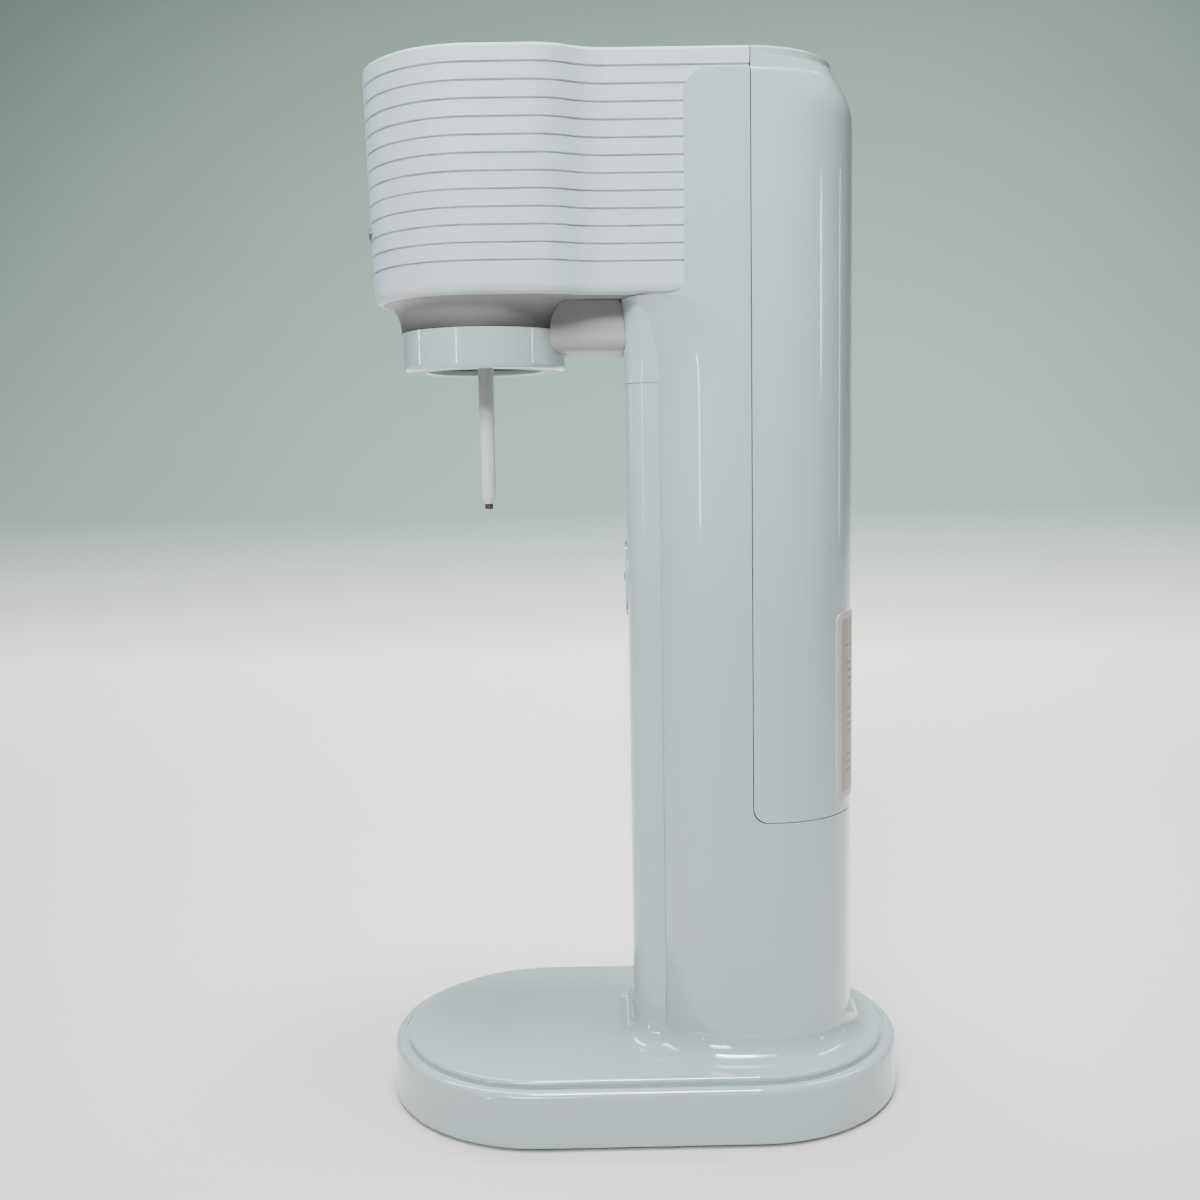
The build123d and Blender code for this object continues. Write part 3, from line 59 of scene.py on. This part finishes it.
LABEL_ROW = 0.0032
LABEL_BLOCK = 6 * LABEL_ROW
BUTTON_WIRE = 0.9 * MM      # radius of the button spring's wire
LATCH_WIRE = 0.5 * MM
LATCH_COIL = 1.9 * MM       # mean radius of a release spring
COIL_TURNS = 4
SWEEP_BACK = -2.4           # where the backdrop's floor ends


# --- Selecting and shaping ------------------------------------------------------------
def deselect():
    if bpy.context.object and bpy.context.object.mode != "OBJECT":
        bpy.ops.object.mode_set(mode="OBJECT")
    bpy.ops.object.select_all(action="DESELECT")


def only(piece):
    deselect()
    piece.select_set(True)
    bpy.context.view_layer.objects.active = piece


def fresh(name):
    piece = bpy.context.object
    piece.name = name
    piece.data.name = name
    return piece


def edit(piece, kind="FACE"):
    only(piece)
    bpy.ops.object.mode_set(mode="EDIT")
    bpy.ops.mesh.select_mode(type=kind)
    bpy.ops.mesh.select_all(action="DESELECT")
    return bmesh.from_edit_mesh(piece.data)


def faces_where(piece, test):
    shape = edit(piece)
    for face in shape.faces:
        face.select = test(face)
    bmesh.update_edit_mesh(piece.data)


def edges_where(piece, test):
    shape = edit(piece, "EDGE")
    for edge in shape.edges:
        edge.select_set(test(edge))
    bmesh.update_edit_mesh(piece.data)


def leave_edit():
    bpy.ops.object.mode_set(mode="OBJECT")


def settle(piece):
    only(piece)
    bpy.ops.object.transform_apply(location=True, rotation=True, scale=True)


def outward(piece):
    only(piece)
    bpy.ops.object.mode_set(mode="EDIT")
    bpy.ops.mesh.select_all(action="SELECT")
    bpy.ops.mesh.remove_doubles(threshold=0.00001)
    bpy.ops.mesh.normals_make_consistent(inside=False)
    leave_edit()


def smooth(piece, degrees=30):
    only(piece)
    bpy.ops.object.shade_smooth_by_angle(angle=math.radians(degrees))


def modify(piece, kind, **settings):
    only(piece)
    modifier = piece.modifiers.new(kind.title(), kind)
    for setting, value in settings.items():
        setattr(modifier, setting, value)
    bpy.ops.object.modifier_apply(modifier=modifier.name)


def repeat(piece, name, shift):
    only(piece)
    bpy.ops.object.duplicate(linked=False)
    copy = fresh(name)
    copy.data.transform(Matrix.Translation(Vector(shift)))
    return copy


def dress(piece, finish, body):
    piece.data.materials.clear()
    piece.data.materials.append(finish)
    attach(piece, body)
    return piece


def coat(finish, *names):
    for name in names:
        for holder in nodes[name].material_slots:
            holder.material = finish


# --- Finishes -------------------------------------------------------------------------
class Wire:
    """A node's output. Arithmetic on it lays down Math nodes."""

    def __init__(self, paint, socket):
        self.paint = paint
        self.socket = socket

    def maths(self, operation, *values):
        return self.paint.node("ShaderNodeMath", {"operation": operation}, dict(enumerate(values)))

    def __add__(self, other):
        return self.maths("ADD", self, other)

    __radd__ = __add__

    def __sub__(self, other):
        return self.maths("SUBTRACT", self, other)

    def __rsub__(self, other):
        return self.maths("SUBTRACT", other, self)

    def __mul__(self, other):
        return self.maths("MULTIPLY", self, other)

    __rmul__ = __mul__

    def __truediv__(self, other):
        return self.maths("DIVIDE", self, other)

    def __gt__(self, other):
        return self.maths("GREATER_THAN", self, other)

    def __lt__(self, other):
        return self.maths("LESS_THAN", self, other)

    def __abs__(self):
        return self.maths("ABSOLUTE", self)

    def wave(self):
        return self.maths("SINE", self)

    def part(self):
        return self.maths("FRACT", self)


class Paint:
    """A material, built up node by node on the object's own coordinates."""

    def __init__(self, name, **constants):
        self.material = bpy.data.materials.new(name)
        self.material.use_nodes = True
        self.tree = self.material.node_tree
        self.shader = self.tree.nodes["Principled BSDF"]
        for socket, value in constants.items():
            self.shader.inputs[socket.replace("_", " ")].default_value = value
        self.place = self.node("ShaderNodeTexCoord", output="Object")

    def node(self, kind, settings=None, sockets=None, output=0):
        made = self.tree.nodes.new(kind)
        for setting, value in (settings or {}).items():
            if setting == "stops":
                self.set_stops(made.color_ramp, value)
            else:
                setattr(made, setting, value)
        for socket, value in (sockets or {}).items():
            self.feed(made.inputs[socket], value)
        return Wire(self, made.outputs[output])

    def set_stops(self, ramp, stops):
        while len(ramp.elements) < len(stops):
            ramp.elements.new(1.0)
        for element, (position, colour) in zip(ramp.elements, stops):
            element.position = position
            element.color = colour

    def feed(self, socket, value):
        if isinstance(value, Wire):
            self.tree.links.new(value.socket, socket)
        else:
            socket.default_value = value

    def axis(self, letter):
        return self.node("ShaderNodeSeparateXYZ", None, {0: self.place}, output=letter)

    def stretched(self, x, y, z):
        return self.node("ShaderNodeMapping", None, {"Vector": self.place, "Scale": (x, y, z)})

    def noise(self, scale, detail=3.0, rough=0.5, place=None):
        sockets = {"Vector": place or self.place, "Scale": scale, "Detail": detail, "Roughness": rough}
        return self.node("ShaderNodeTexNoise", None, sockets)

    def ramp(self, factor, *stops):
        shades = [(at, (shade, shade, shade, 1.0)) for at, shade in stops]
        return self.node("ShaderNodeValToRGB", {"stops": shades}, {0: factor})

    def blend(self, factor, first, second):
        settings = {"data_type": "RGBA"}
        return self.node("ShaderNodeMix", settings, {0: factor, 6: first, 7: second}, output=2)

    def bump(self, height, distance, strength=1.0):
        sockets = {"Height": height, "Distance": distance, "Strength": strength}
        return self.node("ShaderNodeBump", None, sockets)

    def finish(self, colour=None, roughness=None, normal=None, metallic=None, clearcoat=None):
        wires = {"Base Color": colour, "Roughness": roughness, "Normal": normal}
        wires.update({"Metallic": metallic, "Coat Weight": clearcoat})
        for socket, value in wires.items():
            if value is not None:
                self.feed(self.shader.inputs[socket], value)
        return self.material


def rgb(red, green, blue):
    return (red, green, blue, 1.0)


def gloss_white():
    paint = Paint("gloss_white_shell", Coat_Roughness=0.03, IOR=1.5)
    cloud = paint.noise(14.0, 2.0)
    flecks = paint.ramp(paint.noise(900.0, 2.0), (0.70, 0.0), (0.78, 1.0))
    drawn = paint.noise(60.0, 4.0, 0.6, paint.stretched(1.0, 1.0, 14.0))
    hairs = paint.ramp(drawn, (0.66, 0.0), (0.74, 1.0))
    body = paint.blend(cloud, rgb(0.400, 0.495, 0.510), rgb(0.430, 0.522, 0.537))
    # Painted reflection: up to 42 mm high the white is tinted teal and a little darker. This stands in
    # for the teal backdrop reflected in the base.
    low = paint.ramp(paint.axis("Z") * 10.0, (0.0, 1.0), (0.42, 0.0))
    body_with_painted_reflection = paint.blend(low * 0.25, body, rgb(0.36, 0.47, 0.465))
    colour = paint.blend(flecks * 0.10, body_with_painted_reflection, rgb(0.62, 0.62, 0.60))
    roughness = 0.10 + cloud * 0.04 + hairs * 0.04 + flecks * 0.1
    ripple = paint.bump(paint.noise(260.0, 1.0), 0.00004, 0.35)
    return paint.finish(colour, roughness, ripple, clearcoat=0.95 - hairs * 0.2)


def satin_white():
    paint = Paint("satin_white_head", IOR=1.48)
    cloud = paint.noise(18.0, 2.0)
    grain = paint.noise(2400.0, 2.0)
    body = paint.blend(cloud, rgb(0.480, 0.575, 0.630), rgb(0.510, 0.602, 0.657))
    # Painted shade: the groove bands are blended towards dark grey, made patchy by noise, and made
    # rougher there.
    step = ((GROOVE_TOP - paint.axis("Z")) / GROOVE_PITCH + 0.5).part()
    within = abs(step - 0.5) < GROOVE_SHARE
    below = paint.axis("Z") < GROOVE_TOP + 0.4 * GROOVE_PITCH
    above = paint.axis("Z") > GROOVE_TOP - (GROOVES - 0.6) * GROOVE_PITCH
    painted_groove_shade = within * below * above * paint.ramp(paint.noise(120.0), (0.35, 0.3), (0.7, 1.0))
    colour = paint.blend(painted_groove_shade * 0.55, body, rgb(0.26, 0.27, 0.275))
    roughness = 0.40 + cloud * 0.08 + painted_groove_shade * 0.15
    fine = paint.bump(grain, 0.00003, 0.5)
    return paint.finish(colour, roughness, fine)


def underside_painted_shade():
    paint = Paint("underside_shell_painted_shade", IOR=1.48)
    cloud = paint.noise(22.0, 2.0)
    grain = paint.noise(2600.0, 2.0)
    # Painted shade: the underside's white plastic gets a grey base colour, blended towards near-black
    # further below the seam, for the shade under the head.
    body = paint.blend(cloud, rgb(0.29, 0.282, 0.28), rgb(0.33, 0.322, 0.32))
    painted_underside_shade = paint.ramp((SEAM_Z - paint.axis("Z")) * 80.0, (0.0, 0.0), (0.9, 1.0))
    colour = paint.blend(painted_underside_shade * 0.85, body, rgb(0.020, 0.019, 0.021))
    return paint.finish(colour, 0.42 + cloud * 0.1, paint.bump(grain, 0.00003, 0.5))


def neck_painted_shade():
    paint = Paint("neck_grey_painted_shade", IOR=1.48)
    cloud = paint.noise(40.0, 2.0)
    # Painted shade: the neck's white plastic is given a dark grey base colour for the shade it sits in
    # under the head.
    colour = paint.blend(cloud, rgb(0.29, 0.285, 0.287), rgb(0.33, 0.325, 0.325))
    grain = paint.noise(2600.0, 2.0)
    return paint.finish(colour, 0.45 + cloud * 0.1, paint.bump(grain, 0.00003, 0.5))


def moulded_plastic(name, dark, light, rough=0.5):
    paint = Paint(name, IOR=1.48)
    cloud = paint.noise(55.0, 3.0)
    spark = paint.noise(1800.0, 2.0)
    colour = paint.blend(cloud, dark, light)
    return paint.finish(colour, rough + cloud * 0.12, paint.bump(spark, 0.00005, 0.6))


def milky_tube():
    paint = Paint("milky_tube", IOR=1.5)
    paint.shader.inputs["Subsurface Weight"].default_value = 0.35
    paint.shader.inputs["Subsurface Radius"].default_value = (0.004, 0.004, 0.004)
    paint.shader.inputs["Subsurface Scale"].default_value = 1.0
    height = paint.axis("Z")
    top = paint.ramp((height - 0.27) * 14.0, (0.0, 0.0), (1.0, 1.0))
    streaks = paint.noise(300.0, 3.0, 0.5, paint.stretched(1.0, 1.0, 0.08))
    body = paint.blend(top, rgb(0.58, 0.60, 0.59), rgb(0.42, 0.44, 0.43))
    colour = paint.blend(streaks * 0.25, body, rgb(0.56, 0.58, 0.58))
    return paint.finish(colour, 0.30 + streaks * 0.1, paint.bump(streaks, 0.00003, 0.4))


def black_rubber():
    paint = Paint("black_rubber", IOR=1.5)
    bloom = paint.noise(240.0, 4.0)
    colour = paint.blend(bloom, rgb(0.018, 0.018, 0.018), rgb(0.042, 0.042, 0.040))
    return paint.finish(colour, 0.55 + bloom * 0.2, paint.bump(bloom, 0.00008, 0.7))


def foot_rubber():
    paint = Paint("grey_foot_rubber", IOR=1.5)
    bloom = paint.noise(160.0, 4.0)
    tread = (paint.axis("X") * 3800.0).wave() * (paint.axis("Y") * 3800.0).wave()
    colour = paint.blend(bloom, rgb(0.10, 0.10, 0.10), rgb(0.16, 0.16, 0.155))
    return paint.finish(colour, 0.65 + bloom * 0.2, paint.bump(tread, 0.00012, 0.6))


def bright_steel():
    paint = Paint("bright_steel", IOR=2.5)
    drawn = paint.noise(700.0, 3.0, 0.5, paint.stretched(1.0, 1.0, 0.1))
    colour = paint.blend(drawn, rgb(0.50, 0.50, 0.49), rgb(0.66, 0.66, 0.65))
    return paint.finish(colour, 0.22 + drawn * 0.18, paint.bump(drawn, 0.00003, 0.5), metallic=1.0)


def turned_brass():
    paint = Paint("turned_brass", IOR=2.0)
    lathe = paint.noise(900.0, 2.0, 0.5, paint.stretched(0.1, 0.1, 1.0))
    tarnish = paint.noise(90.0, 4.0)
    bright = paint.blend(lathe, rgb(0.62, 0.46, 0.20), rgb(0.74, 0.57, 0.27))
    colour = paint.blend(tarnish * 0.5, bright, rgb(0.42, 0.30, 0.14))
    return paint.finish(colour, 0.25 + tarnish * 0.2, paint.bump(lathe, 0.00004, 0.6), metallic=1.0)


def brushed_cylinder():
    paint = Paint("brushed_cylinder", IOR=1.8)
    brush = paint.noise(500.0, 3.0, 0.5, paint.stretched(1.0, 1.0, 0.03))
    patch = paint.noise(30.0, 3.0)
    bright = paint.blend(brush, rgb(0.55, 0.56, 0.57), rgb(0.72, 0.73, 0.74))
    colour = paint.blend(patch * 0.3, bright, rgb(0.45, 0.46, 0.47))
    return paint.finish(colour, 0.28 + brush * 0.2, paint.bump(brush, 0.00005, 0.5), metallic=1.0)


def badge_plate():
    paint = Paint("dark_badge_plate", IOR=1.5, Coat_Roughness=0.1)
    satin = paint.noise(900.0, 2.0, 0.5, paint.stretched(0.05, 1.0, 1.0))
    colour = paint.blend(satin, rgb(0.035, 0.045, 0.045), rgb(0.075, 0.085, 0.085))
    return paint.finish(colour, 0.30 + satin * 0.15, paint.bump(satin, 0.00003, 0.5), clearcoat=0.3)


def label_paper():
    paint = Paint("tan_label_paper", IOR=1.45, Coat_Roughness=0.25)
    across = paint.axis("X")
    height = paint.axis("Z")
    fibre = paint.noise(700.0, 4.0)
    row = ((height - LABEL_LOW) / LABEL_ROW).part()
    in_row = abs(row - 0.5) < 0.22
    dashes = paint.noise(420.0, 0.0, 0.5, paint.stretched(1.0, 0.0, 0.0)) > 0.46
    blocks = (((height - LABEL_LOW) / LABEL_BLOCK).part() > 0.30) * (abs(across) < 0.021)
    inside = (height > 0.138) * (height < 0.190)
    print_marks = in_row * dashes * blocks * inside
    rule = (abs(height - 0.1925) < 0.0003) * (abs(across) < 0.0235)
    border = (abs(across) > 0.0262) + (height > 0.2035) + (height < 0.1315)
    tan = paint.blend(fibre, rgb(0.33, 0.31, 0.25), rgb(0.39, 0.365, 0.30))
    edged = paint.blend(paint.ramp(border, (0.0, 0.0), (0.5, 1.0)), tan, rgb(0.55, 0.54, 0.49))
    ink = paint.ramp(print_marks + rule, (0.0, 0.0), (0.9, 1.0))
    colour = paint.blend(ink * 0.8, edged, rgb(0.07, 0.07, 0.065))
    return paint.finish(colour, 0.42 + fibre * 0.1, paint.bump(fibre, 0.00003, 0.4), clearcoat=0.2)


gloss = gloss_white()
satin = satin_white()
underside = underside_painted_shade()
neck = neck_painted_shade()
inner = moulded_plastic("black_inner_plastic", rgb(0.075, 0.075, 0.08), rgb(0.115, 0.115, 0.12))
socket = moulded_plastic("dark_socket_plastic", rgb(0.10, 0.105, 0.108), rgb(0.15, 0.155, 0.158), 0.42)
tube = milky_tube()
rubber = black_rubber()
feet = foot_rubber()
steel = bright_steel()
brass = turned_brass()
aluminium = brushed_cylinder()
badge = badge_plate()
paper = label_paper()

coat(gloss, "base_cover", "column_shell", "front_panel", "rear_cover", "collar_ring", "release_button")
coat(satin, "head_shell", "fizz_button")
coat(underside, "head_under_cover")
coat(neck, "neck_bridge")
coat(inner, "base_plate", "chassis", "cylinder_cradle", "press_lever", "button_guide", "release_yoke")
coat(socket, "bottle_socket", "nozzle_block", "relief_body", "relief_cap")
coat(tube, "carbonating_tube")
coat(rubber, "bottle_seal", "tip_seal", "cylinder_seal", "gas_hose")
coat(feet, "rubber_feet")
coat(steel, "base_screws", "chassis_screws", "nozzle_tip", "valve_pin", "lever_pin")
coat(steel, "relief_spring", "fizz_button_spring", "release_springs")
coat(brass, "cylinder_valve", "gas_socket", "relief_poppet")
coat(aluminium, "gas_cylinder")
coat(badge, "front_badge")
coat(paper, "rating_label")


# --- Springs wound in place of the model's springs -------------------------------------
def wound_spring(name, centre, radius, wire, length, turns):
    """A round wire wound along a helix up Z from centre, its two ends closed flat."""
    deselect()
    bpy.ops.mesh.primitive_circle_add(
        vertices=10, radius=wire, location=(radius, 0, 0), rotation=(math.pi / 2, 0, 0)
    )
    piece = fresh(name)
    settle(piece)
    only(piece)
    screw = piece.modifiers.new("Wind", "SCREW")
    screw.axis = "Z"
    screw.angle = 2 * math.pi * turns
    screw.screw_offset = length - 2 * wire
    screw.steps = int(28 * turns)
    screw.render_steps = int(28 * turns)
    screw.use_smooth_shade = True
    bpy.ops.object.modifier_apply(modifier=screw.name)
    edges_where(piece, lambda edge: edge.is_boundary)
    bpy.ops.mesh.edge_face_add()
    leave_edit()
    outward(piece)
    smooth(piece, 50)
    piece.data.transform(Matrix.Translation(Vector(centre) + Vector((0, 0, wire))))
    return piece


low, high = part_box("fizz_button_spring")
mid = (low + high) / 2
coil_radius = (high.x - low.x) / 2 - BUTTON_WIRE
button_spring = wound_spring(
    "fizz_button_coil", (mid.x, mid.y, low.z), coil_radius, BUTTON_WIRE, high.z - low.z, COIL_TURNS
)
dress(button_spring, steel, "machine")
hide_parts("fizz_button_spring")
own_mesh(button_spring)

low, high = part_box("release_springs")
mid = (low + high) / 2
latch_spring = wound_spring(
    "release_coil_right", (0, 0, 0), LATCH_COIL, LATCH_WIRE, high.y - low.y, COIL_TURNS
)
latch_spring.data.transform(Matrix.Rotation(-math.pi / 2, 4, "X"))
reach = (high.x - low.x) / 2 - (LATCH_COIL + LATCH_WIRE)
latch_spring.data.transform(Matrix.Translation(Vector((mid.x + reach, low.y, mid.z))))
left_spring = repeat(latch_spring, "release_coil_left", (-2 * reach, 0, 0))
for spring in (latch_spring, left_spring):
    dress(spring, steel, "machine")
    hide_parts("release_springs")
    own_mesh(spring)


# --- A small arrow on the release button -------------------------------------------------
def press_arrow():
    low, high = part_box("release_button")
    deselect()
    place = ((low.x + high.x) / 2, low.y + 0.05 * MM, (low.z + high.z) / 2)
    bpy.ops.mesh.primitive_cylinder_add(
        vertices=3, radius=2.4 * MM, depth=0.5 * MM, location=place, rotation=(math.pi / 2, 0, 0)
    )
    arrow = fresh("release_arrow")
    settle(arrow)
    modify(arrow, "BEVEL", width=0.35 * MM, segments=3, limit_method="ANGLE")
    faces_where(arrow, lambda face: face.normal.y < -0.95)
    bpy.ops.mesh.inset(thickness=0.25 * MM, depth=-0.08 * MM)
    leave_edit()
    outward(arrow)
    smooth(arrow, 40)
    return dress(arrow, badge, "release_latch")


press_arrow()


# --- Floor, sweep, lights and camera ----------------------------------------------------
def studio_sweep():
    deselect()
    bpy.ops.mesh.primitive_plane_add(size=1, location=(0.2, 0, 0))
    sweep = fresh("studio_sweep")
    sweep.scale = (5.2, 7.0, 1)
    settle(sweep)
    edges_where(sweep, lambda edge: all(vert.co.x < -2.0 for vert in edge.verts))
    bpy.ops.mesh.extrude_region_move(TRANSFORM_OT_translate={"value": (-0.4, 0, 4.5)})
    leave_edit()
    edges_where(
        sweep,
        lambda edge: all(
            abs(vert.co.x - SWEEP_BACK) < MM and vert.co.z < MM for vert in edge.verts
        ),
    )
    bpy.ops.mesh.bevel(offset=1.1, segments=24)
    leave_edit()
    outward(sweep)
    only(sweep)
    bpy.ops.object.mode_set(mode="EDIT")
    bpy.ops.mesh.select_all(action="SELECT")
    bpy.ops.mesh.flip_normals()
    leave_edit()
    smooth(sweep, 60)
    paint = Paint("pale_studio_paper", Specular_IOR_Level=0.25)
    mottle = paint.noise(3.0, 3.0)
    lit_tone = paint.blend(mottle, rgb(0.72, 0.70, 0.685), rgb(0.75, 0.73, 0.715))
    wall_tone = paint.blend(mottle, rgb(0.14, 0.215, 0.185), rgb(0.16, 0.235, 0.205))
    climb = paint.ramp((-1.25 - paint.axis("X")) * 1.3, (0.0, 0.0), (0.85, 1.0))
    colour = paint.blend(climb, lit_tone, wall_tone)
    sweep.data.materials.append(paint.finish(colour, 0.55 + mottle * 0.1))
    return sweep


def panel_light(name, place, target, width, height, power, colour=(1.0, 1.0, 1.0), spread=math.pi):
    light = bpy.data.lights.new(name, "AREA")
    light.shape = "RECTANGLE"
    light.size = width
    light.size_y = height
    light.energy = power
    light.color = colour
    light.spread = spread
    holder = bpy.data.objects.new(name, light)
    bpy.context.scene.collection.objects.link(holder)
    holder.location = place
    away = Vector(target) - Vector(place)
    holder.rotation_euler = away.to_track_quat("-Z", "Y").to_euler()
    return holder


studio_sweep()
panel_light("key_softbox", (1.0, -0.3, 1.0), (0.0, 0.02, 0.44), 0.55, 0.45, 2.9, (0.97, 0.99, 1.0), 0.8)
panel_light("overhead_panel", (0.1, 0.0, 1.6), (0.1, 0.0, 0.0), 0.45, 0.45, 11.0, (0.97, 1.0, 1.0), 1.6)
panel_light("front_strip", (1.2, -0.92, 0.34), (0.02, 0.0, 0.3), 0.012, 0.36, 0.12, (1.0, 1.0, 1.0), 1.2)
panel_light("nose_strip", (-0.2, -1.35, 0.44), (0.0, -0.06, 0.32), 0.014, 0.3, 0.08, (1.0, 1.0, 1.0), 1.2)
panel_light("rear_strip", (0.42, 1.3, 0.5), (0.03, 0.07, 0.33), 0.012, 0.26, 0.07, (1.0, 1.0, 1.0), 1.2)
panel_light("back_strip", (-0.4, 1.35, 0.4), (0.03, 0.08, 0.25), 0.01, 0.5, 0.04, (1.0, 1.0, 1.0), 1.2)
panel_light("sweep_wash", (-1.0, 0.15, 1.95), (-1.75, 0.05, 0.1), 3.2, 0.5, 100.0, (1.0, 0.99, 0.99), 2.2)

world = bpy.data.worlds.new("studio_air")
world.use_nodes = True
world.node_tree.nodes["Background"].inputs[0].default_value = rgb(0.78, 0.86, 0.85)
world.node_tree.nodes["Background"].inputs[1].default_value = 0.03
bpy.context.scene.world = world

eye = Vector((0.556258, -0.021033, 0.270880))
forward = Vector((-0.994114, 0.008070, -0.108036)).normalized()
across = Vector((0.009953, 0.999807, -0.016902)).normalized()
upward = across.cross(forward).normalized()
lens = bpy.data.cameras.new("studio_camera")
lens.sensor_width = 36.0
lens.lens = 39.54
lens.clip_start = 0.01
lens.clip_end = 50.0
camera = bpy.data.objects.new("studio_camera", lens)
bpy.context.scene.collection.objects.link(camera)
turn = Matrix((across, upward, -forward)).transposed()
camera.matrix_world = Matrix.Translation(eye) @ turn.to_4x4()
bpy.context.scene.camera = camera
